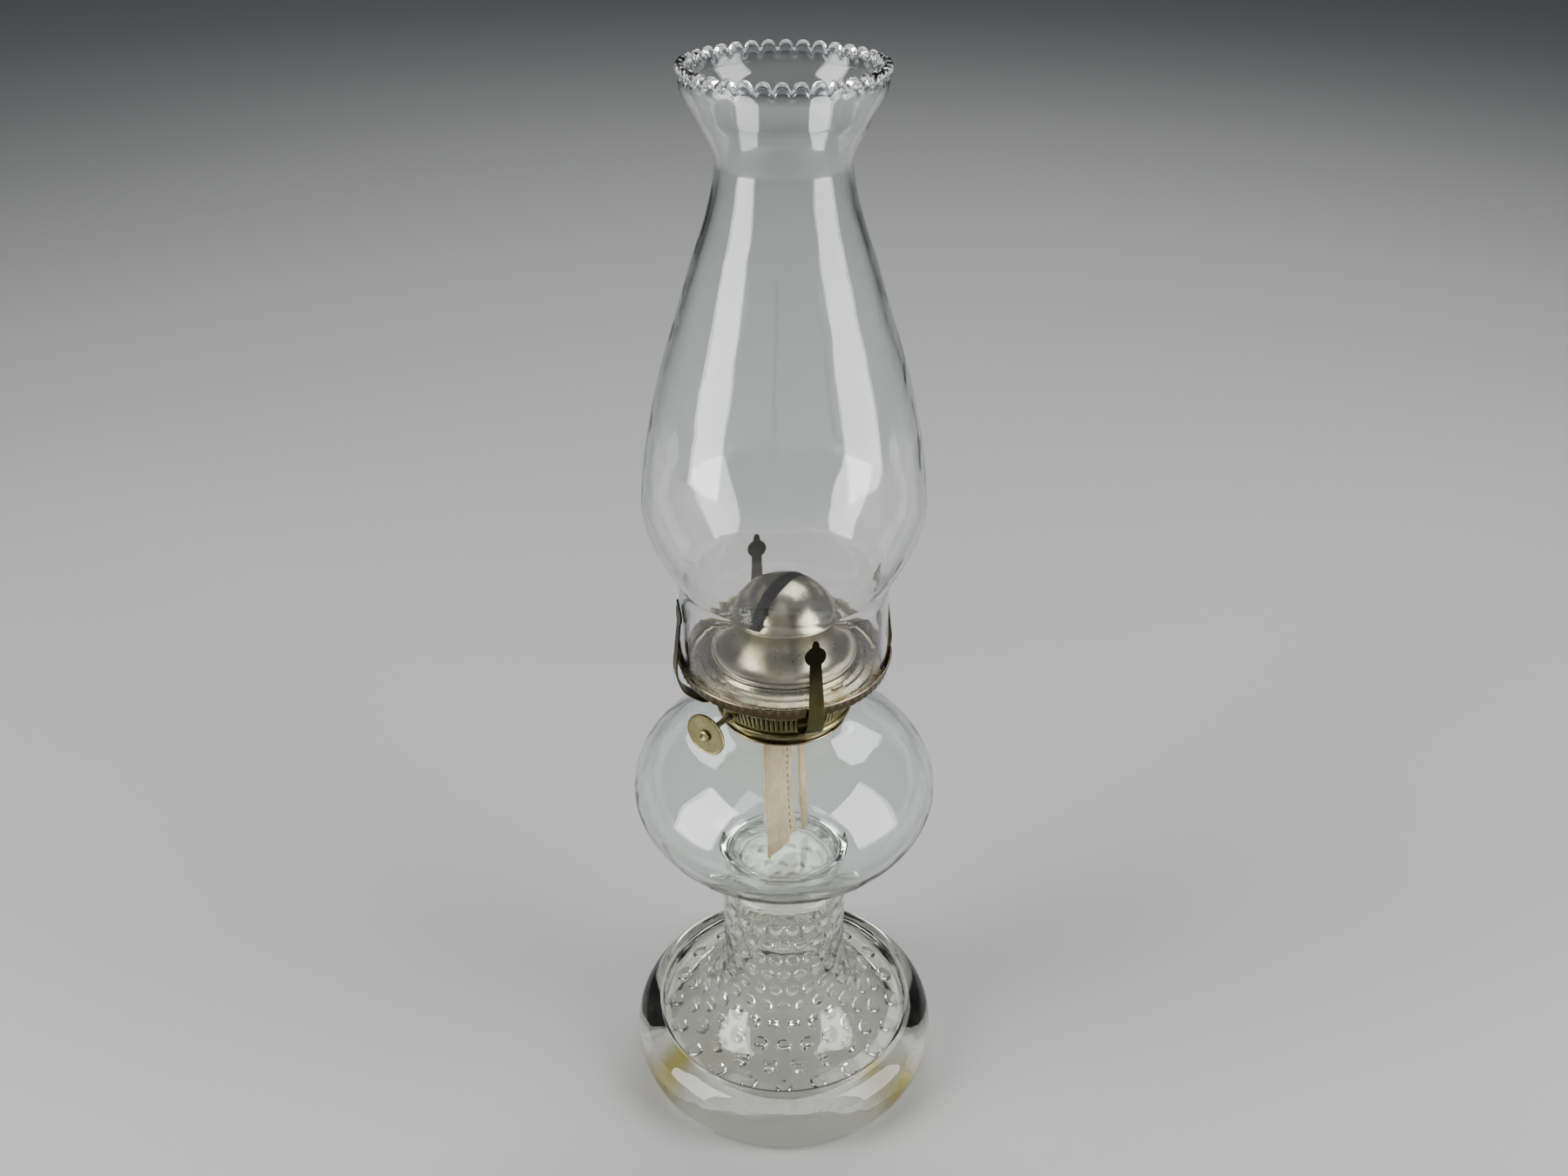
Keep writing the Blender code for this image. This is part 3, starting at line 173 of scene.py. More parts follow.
class LampColours(bpy.types.PropertyGroup):
    """Colours of the glass, the metals and the wick."""

    foot_glass: colour("Foot glass", "Tint of the pressed glass", (0.955, 0.968, 0.905))
    font_glass: colour("Font glass", "Tint of the blown font", (0.962, 0.985, 0.968))
    chimney_glass: colour("Chimney glass", "Tint of the chimney", (0.975, 0.988, 0.982))
    amber: colour("Amber stain", "Tint of the stained spots in the foot", (0.60, 0.46, 0.01))
    nickel: colour("Nickel", "Worn nickel plate", (0.42, 0.38, 0.29))
    # Also the colour of the painted shade on the bell's top, under the dome.
    nickel_wear_and_shade: colour("Worn through", "Brass showing through the nickel", (0.30, 0.245, 0.11))
    rust: colour("Rust", "Brown stain on the gallery", (0.22, 0.12, 0.06))
    rim_brown: colour("Rim", "Brown tarnish around the gallery's rim", (0.11, 0.085, 0.045))
    brass: colour("Brass", "Aged brass", (0.22, 0.20, 0.10))
    brass_dark: colour("Tarnish", "Dark tarnish on brass", (0.10, 0.09, 0.045))
    pale_brass: colour("Wheel brass", "Pale brass of the thumbwheel", (0.38, 0.345, 0.20))
    prong: colour("Spring brass", "Olive spring brass", (0.14, 0.135, 0.065))
    steel: colour("Spindle", "Dull drawn wire", (0.38, 0.35, 0.27))
    cotton: colour("Cotton", "Cream cotton", (0.88, 0.76, 0.52))
    # Also the colour of the painted shade in the hollows of the weave.
    cotton_stain_and_shade: colour("Oil stain", "Cotton darkened by oil", (0.58, 0.42, 0.22))
    stitch: colour("Stitch", "Dark stitch line", (0.05, 0.035, 0.02))
    floor: colour("Floor", "Pale studio floor", (0.43, 0.43, 0.425))


# ---------------------------------------------------------------- outlines


def arc(centre, half_width, half_height, start, end, steps):
    """Points (r, z) along an ellipse between two angles in degrees."""
    points = []
    for step in range(steps + 1):
        angle = math.radians(start + (end - start) * step / steps)
        r = centre[0] + half_width * math.cos(angle)
        points.append((r, centre[1] + half_height * math.sin(angle)))
    return points


def millimetres(points, r=0.0, z=0.0):
    """Points given in millimetres from (r, z), as metres."""
    return [(r + out * MM, z + up * MM) for out, up in points]


def smooth(stations, steps, start_direction=None):
    """Hermite curve through the stations, with tangents scaled to each span's chord."""
    knots = [Vector(station) for station in stations]
    points = []
    for index in range(len(knots) - 1):
        here, there = knots[index], knots[index + 1]
        chord = (there - here).length
        before = knots[max(index - 1, 0)]
        after = knots[min(index + 2, len(knots) - 1)]
        leave = (there - before).normalized() * chord
        arrive = (after - here).normalized() * chord
        if index == 0 and start_direction is not None:
            leave = Vector(start_direction).normalized() * chord
        for step in range(steps):
            t = step / steps
            share = 3 * t ** 2 - 2 * t ** 3
            point = here * (1 - share) + there * share
            point = point + leave * (t ** 3 - 2 * t ** 2 + t) + arrive * (t ** 3 - t ** 2)
            points.append(tuple(point))
    points.append(tuple(knots[-1]))
    return points


def rounded(path, radius, steps=4):
    """Replace each inner corner of a path by a short curve no longer than its legs allow."""
    points = [tuple(path[0])]
    for before, corner, after in zip(path, path[1:], path[2:]):
        corner = Vector(corner)
        to_before = Vector(before) - corner
        to_after = Vector(after) - corner
        reach = min(radius, to_before.length * 0.45, to_after.length * 0.45)
        start = corner + to_before.normalized() * reach
        end = corner + to_after.normalized() * reach
        for step in range(steps + 1):
            t = step / steps
            point = start * (1 - t) ** 2 + corner * 2 * t * (1 - t) + end * t ** 2
            points.append(tuple(point))
    points.append(tuple(path[-1]))
    return points


def beside(points, distance):
    """Move an open path sideways, to the right of its direction, with mitred corners."""
    moved = []
    for index, point in enumerate(points):
        sides = []
        for a, b in ((index - 1, index), (index, index + 1)):
            if a >= 0 and b < len(points):
                run = (Vector(points[b]) - Vector(points[a])).normalized()
                sides.append(Vector((run.y, -run.x)))
        side = sum(sides, Vector((0.0, 0.0))).normalized()
        shift = side * (distance / max(0.3, side.dot(sides[0])))
        r = 0.0 if abs(point[0]) < MERGE else max(0.0, point[0] + shift.x)
        moved.append((r, point[1] + shift.y))
    return moved


def rolled(points, thickness):
    """Closed outline of a sheet along a path, with half-round edges."""
    outer = beside(points, thickness / 2)
    inner = beside(points, -thickness / 2)
    outline = list(outer)
    ends = ((points[-1], points[-2], outer[-1]), (points[0], points[1], inner[0]))
    for number, (tip, before, start) in enumerate(ends):
        if tip[0] > MERGE:
            run = (Vector(tip) - Vector(before)).normalized()
            arm = Vector(start) - Vector(tip)
            for step in (1, 2, 3):
                angle = math.pi * step / 4
                point = Vector(tip) + arm * math.cos(angle) + run * arm.length * math.sin(angle)
                outline.append(tuple(point))
        if number == 0:
            outline += inner[::-1]
    return outline


# ---------------------------------------------------------------- meshes


def revolve(outline, steps, closed=True):
    """Turn an outline of (r, z) points about Z into a shell."""
    shape = bmesh.new()
    rim = [shape.verts.new((r, 0.0, z)) for r, z in outline]
    pairs = list(zip(rim, rim[1:]))
    if closed and (outline[0][0] > MERGE or outline[-1][0] > MERGE):
        pairs.append((rim[-1], rim[0]))
    edges = [shape.edges.new(pair) for pair in pairs]
    bmesh.ops.spin(
        shape, geom=rim + edges, cent=(0, 0, 0), axis=(0, 0, 1), dvec=(0, 0, 0),
        angle=TURN, steps=steps, use_merge=True, use_duplicate=False,
    )
    bmesh.ops.remove_doubles(shape, verts=shape.verts, dist=MERGE)
    bmesh.ops.recalc_face_normals(shape, faces=shape.faces)
    return shape


def bevelled(shape, width, segments=2, sharper_than=30.0):
    """Round every edge that is sharper than an angle."""
    limit = math.radians(sharper_than)
    edges = [e for e in shape.edges if e.is_manifold and e.calc_face_angle(0.0) > limit]
    bmesh.ops.bevel(
        shape, geom=edges, offset=width, offset_type="OFFSET", segments=segments,
        profile=0.5, affect="EDGES", clamp_overlap=True, material=-1,
    )
    return shape


def add_box(shape, size, place):
    """Add a small rounded block to a shape; place carries it to where it belongs."""
    made = bmesh.ops.create_cube(shape, size=1.0, matrix=place @ Matrix.Diagonal((*size, 1.0)))
    edges = list({edge for vert in made["verts"] for edge in vert.link_edges})
    bmesh.ops.bevel(
        shape, geom=edges, offset=min(size) * 0.25, offset_type="OFFSET", segments=2,
        profile=0.5, affect="EDGES", clamp_overlap=True, material=-1,
    )


def place_piece(name, shape, finish, body, nodes=(), sharp=40.0):
    """Make the named piece from a shape, with its material, body and replaced nodes."""
    mesh = bpy.data.meshes.new(name)
    shape.to_mesh(mesh)
    shape.free()
    mesh.shade_smooth()
    mesh.set_sharp_from_angle(angle=math.radians(sharp))
    mesh.materials.append(finish_named(finish))
    piece = bpy.data.objects.new(name, mesh)
    bpy.context.scene.collection.objects.link(piece)
    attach(piece, body)
    if nodes:
        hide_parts(*nodes)
    return piece


def thicken(piece, thickness):
    """Give an open sheet its wall, half of it to each side."""
    wall = piece.modifiers.new("wall", "SOLIDIFY")
    wall.thickness = thickness
    wall.offset = 0.0


def angle_of(point):
    return math.atan2(point.y, point.x)


def radius_of(point):
    return math.hypot(point.x, point.y)


def spread(vert, factor):
    """Scale a point's distance from the Z axis."""
    vert.co.x *= factor
    vert.co.y *= factor


# ---------------------------------------------------------------- materials


class Painter:
    """Small helper that adds nodes to one material and joins them up."""

    def __init__(self, name):
        self.material = bpy.data.materials.new(name)
        self.material.use_nodes = True
        self.nodes = self.material.node_tree.nodes
        self.links = self.material.node_tree.links
        self.shader = self.nodes["Principled BSDF"]
        self.place = self.nodes.new("ShaderNodeTexCoord").outputs["Object"]

    def join(self, value, socket):
        if isinstance(value, bpy.types.NodeSocket):
            self.links.new(value, socket)
        elif socket.type == "RGBA":
            socket.default_value = (*value, 1.0)
        else:
            socket.default_value = value

    def set(self, socket, value):
        self.join(value, self.shader.inputs[socket])

    def add(self, kind, inputs, output, **settings):
        """One more node, with its inputs filled or joined; gives the named output."""
        node = self.nodes.new("ShaderNode" + kind)
        for name, value in settings.items():
            setattr(node, name, value)
        for socket, value in inputs.items():
            self.join(value, node.inputs[socket])
        return node.outputs[output]

    def stretched(self, scale):
        return self.add("Mapping", {"Scale": scale, "Vector": self.place}, "Vector")

    def noise(self, scale, detail=4.0, roughness=0.55, place=None):
        inputs = {"Scale": scale, "Detail": detail, "Roughness": roughness}
        return self.add("TexNoise", {**inputs, "Vector": place or self.place}, "Fac")

    def ramp(self, value, low, high, start=0.0, end=1.0):
        inputs = {"From Min": low, "From Max": high, "To Min": start, "To Max": end}
        return self.add("MapRange", {**inputs, "Value": value}, "Result")

    def mix(self, share, first, second):
        node = self.nodes.new("ShaderNodeMix")
        node.data_type = "RGBA"
        for socket, value in (("Factor", share), ("A", first), ("B", second)):
            self.join(value, node.inputs[socket])
        return node.outputs["Result"]

    def maths(self, kind, first, second=0.0):
        return self.add("Math", {0: first, 1: second}, "Value", operation=kind)

    def times(self, first, second):
        return self.maths("MULTIPLY", first, second)

    def axis(self, letter):
        return self.add("SeparateXYZ", {"Vector": self.place}, letter)

    def radius(self):
        """Distance from the lamp's axis."""
        squares = [self.times(self.axis(name), self.axis(name)) for name in "XY"]
        return self.maths("SQRT", self.maths("ADD", *squares))

    def near(self, centre, reach):
        """1 at a point, falling to 0 at a distance."""
        gap = self.add("VectorMath", {0: self.place, 1: centre}, "Value", operation="DISTANCE")
        return self.ramp(gap, reach * 0.35, reach, 1.0, 0.0)

    def bump(self, height, distance, under=None):
        inputs = {"Distance": distance, "Height": height}
        if under is not None:
            inputs["Normal"] = under
        return self.add("Bump", inputs, "Normal")

    def finish(self, tone, roughness, height):
        """Set the colour, the roughness and the normal, and give the finished material."""
        self.set("Base Color", tone)
        self.set("Roughness", roughness)
        if height is not None:
            self.set("Normal", height)
        return self.material


def glass(name, tint, waviness, dust, stain=None):
    """Clear glass with slow waves, dusty smears and, if wanted, a stain in its colour."""
    paint = Painter(name)
    paint.set("IOR", 1.5)
    smears = paint.noise(55.0, 5.0, 0.6)
    specks = paint.ramp(paint.noise(1500.0, 1.0), 0.70, 0.76, 0.0, 0.12)
    haze = paint.ramp(smears, 0.40, 0.75, dust * 0.25, dust)
    cover = paint.maths("ADD", haze, paint.times(specks, paint.ramp(smears, 0.45, 0.6)))
    paint.set("Transmission Weight", paint.maths("SUBTRACT", 1.0, cover))
    tone = stain(paint) if stain else tint
    # Walls seen edge-on turn darker green: partly the glass's own tint through a longer path,
    # partly painted shade standing in for the dark surroundings seen at glass edges.
    edge = paint.add("LayerWeight", {"Blend": 0.5}, "Facing")
    tone = paint.mix(paint.ramp(edge, 0.62, 0.98, 0.0, 0.85), tone, GLASS_EDGE_TINT_AND_SHADE)
    rough = paint.ramp(smears, 0.45, 0.75, 0.0, 0.045)
    return paint.finish(tone, rough, paint.bump(paint.noise(38.0, 2.0), waviness))


def worn_metal(name, base, wear, dark, roughness, wear_range, grain, stain=None):
    """Plated or aged sheet metal: worn patches, tarnish, fine scratches and handling marks."""
    paint = Painter(name)
    paint.set("Metallic", 1.0)
    patches = paint.noise(90.0, 6.0, 0.62)
    cloud = paint.noise(24.0, 3.0)
    worn = paint.ramp(patches, wear_range[0], wear_range[1])
    tone = paint.mix(worn, base, wear)
    tone = paint.mix(paint.ramp(cloud, 0.48, 0.78, 0.0, 0.75), tone, dark)
    specks = paint.ramp(paint.noise(900.0, 2.0), 0.62, 0.72)
    tone = paint.mix(paint.times(specks, 0.45), tone, dark)
    if stain:
        tone = stain(paint, tone)
    rough = paint.ramp(patches, 0.3, 0.7, roughness * 0.75, roughness * 1.45)
    scratches = paint.noise(240.0, 3.0, 0.7, paint.stretched((1.0, 1.0, 9.0)))
    fine = paint.bump(scratches, grain)
    return paint.finish(tone, rough, paint.bump(paint.noise(1400.0, 2.0), grain * 0.6, fine))


def make_finishes(colours):
    """All the lamp's materials, by name."""

    def foot_stain(paint):
        tone = colours.foot_glass
        for centre in ((-0.026, -0.053, 0.009), (0.061, -0.003, 0.014)):
            tone = paint.mix(paint.times(paint.near(centre, 0.016), 0.95), tone, colours.amber)
        return tone

    def gallery_rust(paint, tone):
        radius = paint.radius()
        band = paint.ramp(radius, 0.0285, 0.034)
        blotch = paint.ramp(paint.noise(150.0, 5.0, 0.65), 0.5, 0.66)
        tone = paint.mix(paint.times(paint.times(band, blotch), 0.75), tone, colours.rust)
        rim = paint.ramp(radius, 0.0366, 0.0374, 0.0, 0.9)
        bright = paint.ramp(radius, 0.0390, 0.0393, 1.0, 0.15)
        return paint.mix(paint.times(rim, bright), tone, colours.rim_brown)

    # Painted shade under the dome: the bell turns to the darker worn-through olive towards its
    # top, where the dome sits over it.
    def bell_shade_under_dome(paint, tone):
        under_dome_shade = paint.ramp(paint.axis("Z"), 0.2195, 0.2245)
        return paint.mix(paint.times(under_dome_shade, 0.7), tone, colours.nickel_wear_and_shade)

    def dome_soot(paint, tone):
        edge = paint.maths("ABSOLUTE", paint.axis("X"))
        soot = paint.ramp(edge, 0.0028, 0.0046, 0.55, 0.0)
        return paint.mix(soot, tone, colours.brass_dark)

    def tube_soot(paint, tone):
        soot = paint.ramp(paint.axis("Z"), 0.212, 0.223, 0.0, 0.96)
        return paint.mix(soot, tone, CHAR_BLACK)

    def prong_scorch(paint, tone):
        scorched = paint.ramp(paint.axis("Z"), 0.207, 0.226, 0.0, 0.9)
        return paint.mix(scorched, tone, (0.018, 0.017, 0.012))

    finishes = {
        "foot_glass": glass("foot_glass", colours.foot_glass, 0.0007, 0.035, foot_stain),
        "font_glass": glass("font_glass", colours.font_glass, 0.0006, 0.018),
        "chimney_glass": glass("chimney_glass", colours.chimney_glass, 0.0004, 0.014),
    }
    metals = (
        ("gallery_nickel", colours.nickel, colours.nickel_wear_and_shade, 0.24, (0.5, 0.72), gallery_rust),
        ("bell_nickel", colours.nickel, colours.nickel_wear_and_shade, 0.30, (0.55, 0.8), bell_shade_under_dome),
        ("dome_nickel", colours.nickel, colours.nickel_wear_and_shade, 0.20, (0.6, 0.8), dome_soot),
        ("aged_brass", colours.brass, colours.pale_brass, 0.30, (0.45, 0.7), None),
        ("tube_brass", colours.brass, colours.pale_brass, 0.40, (0.45, 0.7), tube_soot),
        ("collar_brass", colours.nickel_wear_and_shade, colours.nickel, 0.26, (0.5, 0.7), None),
        ("wheel_brass", colours.pale_brass, colours.brass, 0.38, (0.45, 0.7), None),
        ("prong_brass", colours.prong, colours.brass, 0.36, (0.5, 0.75), prong_scorch),
        ("spindle_steel", colours.steel, colours.brass, 0.34, (0.5, 0.7), None),
    )
    for name, base, wear, roughness, wear_range, stain in metals:
        finishes[name] = worn_metal(
            name, base, wear, colours.brass_dark, roughness, wear_range, 0.04 * MM, stain
        )
    finishes["plaster"] = make_plaster()
    finishes["soot"] = make_soot()
    finishes["cotton"] = make_cotton(colours)
    finishes["stitch"] = make_stitch(colours)
    return finishes


def make_plaster():
    paint = Painter("plaster")
    tone = paint.mix(paint.noise(300.0), (0.72, 0.69, 0.60), (0.55, 0.50, 0.41))
    return paint.finish(tone, 0.9, paint.bump(paint.noise(900.0), 0.1 * MM))


def make_soot():
    """Matt soot on the inner side of the dome and the bell."""
    paint = Painter("burner_soot")
    tone = paint.mix(paint.noise(500.0), CHAR_BLACK, (0.045, 0.038, 0.028))
    return paint.finish(tone, 0.9, paint.bump(paint.noise(1200.0), 0.08 * MM))


def make_cotton(colours):
    """Woven cotton that darkens near the burner where oil has soaked it."""
    paint = Painter("wick_cotton")
    cloud = paint.noise(120.0, 4.0)
    tone = paint.mix(paint.ramp(cloud, 0.4, 0.7, 0.0, 0.45), colours.cotton, colours.cotton_stain_and_shade)
    soaked = paint.ramp(paint.axis("Z"), 0.166, 0.182, 0.0, 0.75)
    tone = paint.mix(soaked, tone, colours.cotton_stain_and_shade)
    charred = paint.ramp(paint.axis("Z"), 0.2235, 0.2275)
    tone = paint.mix(charred, tone, (0.02, 0.017, 0.013))
    ribs = paint.noise(1300.0, 2.0, 0.5, paint.stretched((1.0, 1.0, 0.35)))
    # Painted shade in the hollows of the weave: the oil-stain colour darkens the cotton where the
    # ribs are low.
    tone = paint.mix(paint.ramp(ribs, 0.35, 0.6, 0.35, 0.0), tone, colours.cotton_stain_and_shade)
    paint.set("Sheen Weight", 0.25)
    return paint.finish(tone, 0.95, paint.bump(ribs, 0.12 * MM))


def make_stitch(colours):
    paint = Painter("wick_stitch")
    tone = paint.mix(paint.noise(1500.0), colours.stitch, colours.cotton_stain_and_shade)
    return paint.finish(tone, 0.95, None)


FINISHES = {}


def finish_named(name):
    """One of the lamp's materials; the first call makes them all."""
    if not FINISHES:
        FINISHES.update(make_finishes(bpy.context.scene.lamp_colours))
    return FINISHES[name]


# ---------------------------------------------------------------- glass pieces


def foot_lines(size):
    """Outer and inner lines of the pressed foot, each from the stem's top down to the rest."""
    skirt_r = size.ridge_radius - size.groove
    skirt_z = size.ridge_height - size.groove
    skirt = arc(
        (skirt_r, size.stem_waist), skirt_r - size.stem_radius, size.stem_waist - skirt_z,
        270, 180, 26,
    )
    edge = 1.2 * MM
    outside = [(0.0, FOOT_TOP)]
    outside += arc((size.stem_radius - edge, FOOT_TOP - edge), edge, edge, 90, 0, 4)
    stem_steps = 5
    stem_drop = FOOT_TOP - edge - size.stem_waist
    for step in range(1, stem_steps):
        outside.append((size.stem_radius, FOOT_TOP - edge - stem_drop * step / stem_steps))
    outside += skirt[::-1]
    dip = 0.6 * MM
    groove_foot = (skirt_r + size.groove * 0.45, skirt_z - dip)
    ridge = arc(
        (size.ridge_radius, size.foot_belly), size.foot_radius - size.ridge_radius,
        size.ridge_height - size.foot_belly, 90, 0, 20,
    )
    crest = (size.ridge_radius - 0.7 * MM, size.ridge_height - 0.35 * MM)
    outside += [groove_foot, (skirt_r + size.groove * 0.75, skirt_z + 0.2 * MM), crest]
    outside += ridge
    outside += arc(
        (size.foot_rest, size.foot_belly), size.foot_radius - size.foot_rest,
        size.foot_belly, 0, -90, 18,
    )[1:]
    inner_skirt = beside([(skirt_r + size.foot_wall, skirt_z)] + skirt, -size.foot_wall)[1:]
    rest_inner = size.foot_rest - size.foot_rest_width
    inside = arc(
        (inner_skirt[0][0], 0.0), rest_inner - inner_skirt[0][0], inner_skirt[0][1], 0, 90, 14
    )[:-1]
    hollow_top = FOOT_TOP - size.stem_cap
    bore = size.stem_radius - size.foot_wall
    stem_line = []
    stem_rise = hollow_top - size.foot_wall - inner_skirt[-1][1]
    for step in range(1, 13):
        stem_line.append((bore, inner_skirt[-1][1] + stem_rise * step / 12))
    cap = arc((bore - size.foot_wall, hollow_top - size.foot_wall), size.foot_wall,
              size.foot_wall, 0, 90, 6)[1:]
    return outside, inside, inner_skirt + stem_line, cap + [(0.0, hollow_top)]


def even_steps(line, spacing):
    """The same line with points at even distances."""
    points = [Vector(point) for point in line]
    total = sum((b - a).length for a, b in zip(points, points[1:]))
    number = max(2, round(total / spacing))
    stepped = []
    index = 0
    travelled = 0.0
    for step in range(number + 1):
        target = total * step / number
        while index < len(points) - 2:
            span = (points[index + 1] - points[index]).length
            if travelled + span >= target:
                break
            travelled += span
            index += 1
        span = (points[index + 1] - points[index]).length
        share = min(1.0, (target - travelled) / span)
        stepped.append(tuple(points[index].lerp(points[index + 1], share)))
    return stepped, total


class LAMP_OT_foot(bpy.types.Operator):
    """Make the pressed glass foot, with rings of dots on its inner wall"""

    bl_idname = "lamp.foot"
    bl_label = "Pressed Foot"

    def execute(self, context):
        size = context.scene.lamp_glass
        outside, inside, dotted, cap = foot_lines(size)
        dotted, total = even_steps(dotted, 0.75 * MM)
        shape = revolve(outside + inside + dotted + cap, 360)
        rings = []
        distances = {}
        for index, (r, z) in enumerate(dotted):
            distances[(round(r * 1e6), round(z * 1e6))] = total * index / (len(dotted) - 1)
        rows = int((total - 6 * MM) / size.dot_spacing)
        for row in range(rows + 1):
            rings.append(5 * MM + row * size.dot_spacing)
        shape.normal_update()
        moves = []
        for vert in shape.verts:
            r = radius_of(vert.co)
            along = distances.get((round(r * 1e6), round(vert.co.z * 1e6)))
            if along is None:
                continue
            row = min(range(len(rings)), key=lambda index: abs(rings[index] - along))
            pitch = TURN / size.dot_columns
            turn = angle_of(vert.co) / pitch + (0.5 if row % 2 else 0.0)
            across = (turn - round(turn)) * pitch * r
            shrink = 0.72 + 0.28 * min(1.0, max(0.0, (r - 0.021) / 0.015))
            reach = size.dot_radius * shrink
            far = math.hypot(across, along - rings[row]) / reach
            if far < 1.0:
                shoulder = min(1.0, (1.0 - far) / 0.5)
                lift = size.dot_height * shrink * math.sqrt(shoulder * (2.0 - shoulder))
                moves.append((vert, vert.normal * lift))
        for vert, move in moves:
            vert.co += move
        place_piece("pressed_foot", shape, "foot_glass", "reservoir",
                    ("glass_foot",), sharp=60.0)
        return {"FINISHED"}


def superellipse(radius, height, fullness, angle):
    power = 2 / fullness
    return radius * math.cos(angle) ** power, height * math.sin(angle) ** power


class LAMP_OT_font(bpy.types.Operator):
    """Make the blown glass font with its neck and thick floor"""

    bl_idname = "lamp.font"
    bl_label = "Blown Font"

    def execute(self, context):
        size = context.scene.lamp_glass
        upper_fullness, lower_fullness = 1.95, 1.87
        equator = FONT_BOTTOM + size.font_equator
        low = math.acos((size.font_pad / size.font_radius) ** (lower_fullness / 2))
        high = math.acos((size.neck_radius / size.font_radius) ** (upper_fullness / 2))
        line = []
        steps = 44
        for step in range(steps, 0, -1):
            r, drop = superellipse(
                size.font_radius, size.font_lower, lower_fullness, low * step / steps
            )
            line.append((r, equator - drop))
        for step in range(steps + 1):
            r, rise = superellipse(
                size.font_radius, size.font_upper, upper_fullness, high * step / steps
            )
            line.append((r, equator + rise))
        edge = 0.8 * MM
        outside = [(0.0, FONT_BOTTOM)]
        outside += arc((size.font_pad - edge, FONT_BOTTOM + edge), edge, edge, 270, 360, 3)
        outside += line[1:]
        outside += millimetres([(0.0, -0.5), (-0.4, 0.0)], size.neck_radius, NECK_TOP)
        wall = beside(line, -size.font_wall)
        bore = size.neck_radius - size.neck_wall
        floor = FONT_BOTTOM + size.font_floor
        inside = millimetres([(0.4, 0.0), (0.0, -0.5)], bore, NECK_TOP)
        inside += [(r, z) for r, z in wall[::-1] if z > floor + 1.5 * MM and r > bore + 0.3 * MM]
        low_r = inside[-1][0]
        for share in (0.93, 0.84, 0.72, 0.55, 0.3):
            inside.append((low_r * share, floor + 1.5 * MM * (share - 0.3) ** 2))
        inside.append((0.0, floor))
        shape = revolve(outside + inside, 192)
        place_piece("blown_font", shape, "font_glass", "reservoir",
                    ("glass_font",), sharp=60.0)
        return {"FINISHED"}


def chimney_line():
    """Outer line of the chimney, from its foot up to the middle of its rim."""
    stations = [
        (37.7, 35.5), (47.2, 55.2), (49.3, 68.8), (43.2, 105.8), (31.8, 143.8),
        (21.3, 181.0), (26.6, 195.1), (31.2, 203.8), (31.6, 209.6),
    ]
    curve = smooth(stations, 7, start_direction=(0.5, 1.0))
    fitter = smooth([(38.1, 0.0), (38.1, 12.0), (37.85, 25.0), (37.7, 35.5)], 3)
    return millimetres(fitter[:-1] + curve, z=CHIMNEY_FOOT)


class LAMP_OT_chimney(bpy.types.Operator):
    """Make the blown chimney with its crimped rim"""

    bl_idname = "lamp.chimney"
    bl_label = "Chimney"

    def execute(self, context):
        size = context.scene.lamp_glass
        outside = chimney_line()
        wall = size.chimney_wall
        inside = beside(outside, -wall)
        foot_z = CHIMNEY_FOOT
        half = wall / 2
        foot_round = arc((outside[0][0] - half, foot_z + half), half, half, 180, 360, 6)
        rim_r = outside[-1][0] - half
        rim_z = outside[-1][1] - 0.35 * MM
        bead = arc((rim_r, rim_z), size.chimney_bead, size.chimney_bead, -35, 215, 14)
        outline = foot_round[:-1] + outside[1:-2] + bead + inside[-3:0:-1]
        shape = revolve(outline, size.crimp_count * 14)
        crimp_foot = rim_z - 3.2 * MM
        for vert in shape.verts:
            if vert.co.z > crimp_foot:
                share = min(1.0, (vert.co.z - crimp_foot) / (rim_z - 0.6 * MM - crimp_foot))
                share = share * share * (3 - 2 * share)
                phase = (angle_of(vert.co) * size.crimp_count / TURN) % 1.0
                across = abs(2 * phase - 1.0) / 0.8
                lobe = math.sqrt(max(0.0, 1.0 - across ** 2.4)) - 0.55
                vert.co.z += share * size.crimp_height * lobe
                r = radius_of(vert.co)
                swell = 1.0 + share * (0.25 * MM * lobe + 0.2 * (r - rim_r) * lobe) / r
                spread(vert, swell)
        place_piece("blown_chimney", shape, "chimney_glass", "chimney",
                    ("chimney",), sharp=60.0)
        return {"FINISHED"}


# ---------------------------------------------------------------- burner pieces


class LAMP_OT_collar(bpy.types.Operator):
    """Make the collar's hollow-curved skirt, rolled edge, plate and threaded socket"""

    bl_idname = "lamp.collar"
    bl_label = "Collar"

    def execute(self, context):
        size = context.scene.lamp_burner
        low, high = BOXES["font_collar"]
        plate = high.z - size.sheet / 2
        foot = NECK_TOP - 3.6 * MM
        skirt = arc(
            (size.collar_flare - 0.3 * MM, plate - 0.8 * MM),
            size.collar_flare - 0.3 * MM - size.collar_top, plate - 0.8 * MM - foot, 270, 180, 10,
        )
        edge = [(size.collar_flare - 0.25 * MM, foot + 0.1 * MM)]
        socket_r = size.collar_top - 4.35 * MM
        thread = []
        for turn in range(13):
            depth = 0.9 * MM + turn * 0.45 * MM
            thread.append((socket_r + (0.22 * MM if turn % 2 else -0.12 * MM), plate - depth))
        path = edge + skirt + [(size.collar_top - 0.8 * MM, plate), (socket_r + 0.5 * MM, plate)]
        path = rounded(path + thread, 0.5 * MM, 2)
        shape = revolve(rolled(path, size.sheet), 128)
        centre = (size.collar_flare - 0.35 * MM, foot + 0.25 * MM)
        bead = revolve(arc(centre, 0.42 * MM, 0.42 * MM, 0, 330, 11), 128)
        place_piece("collar_skirt", shape, "collar_brass", "reservoir",
                    ("font_collar",))
        place_piece("collar_rolled_edge", bead, "collar_brass", "reservoir")
        return {"FINISHED"}


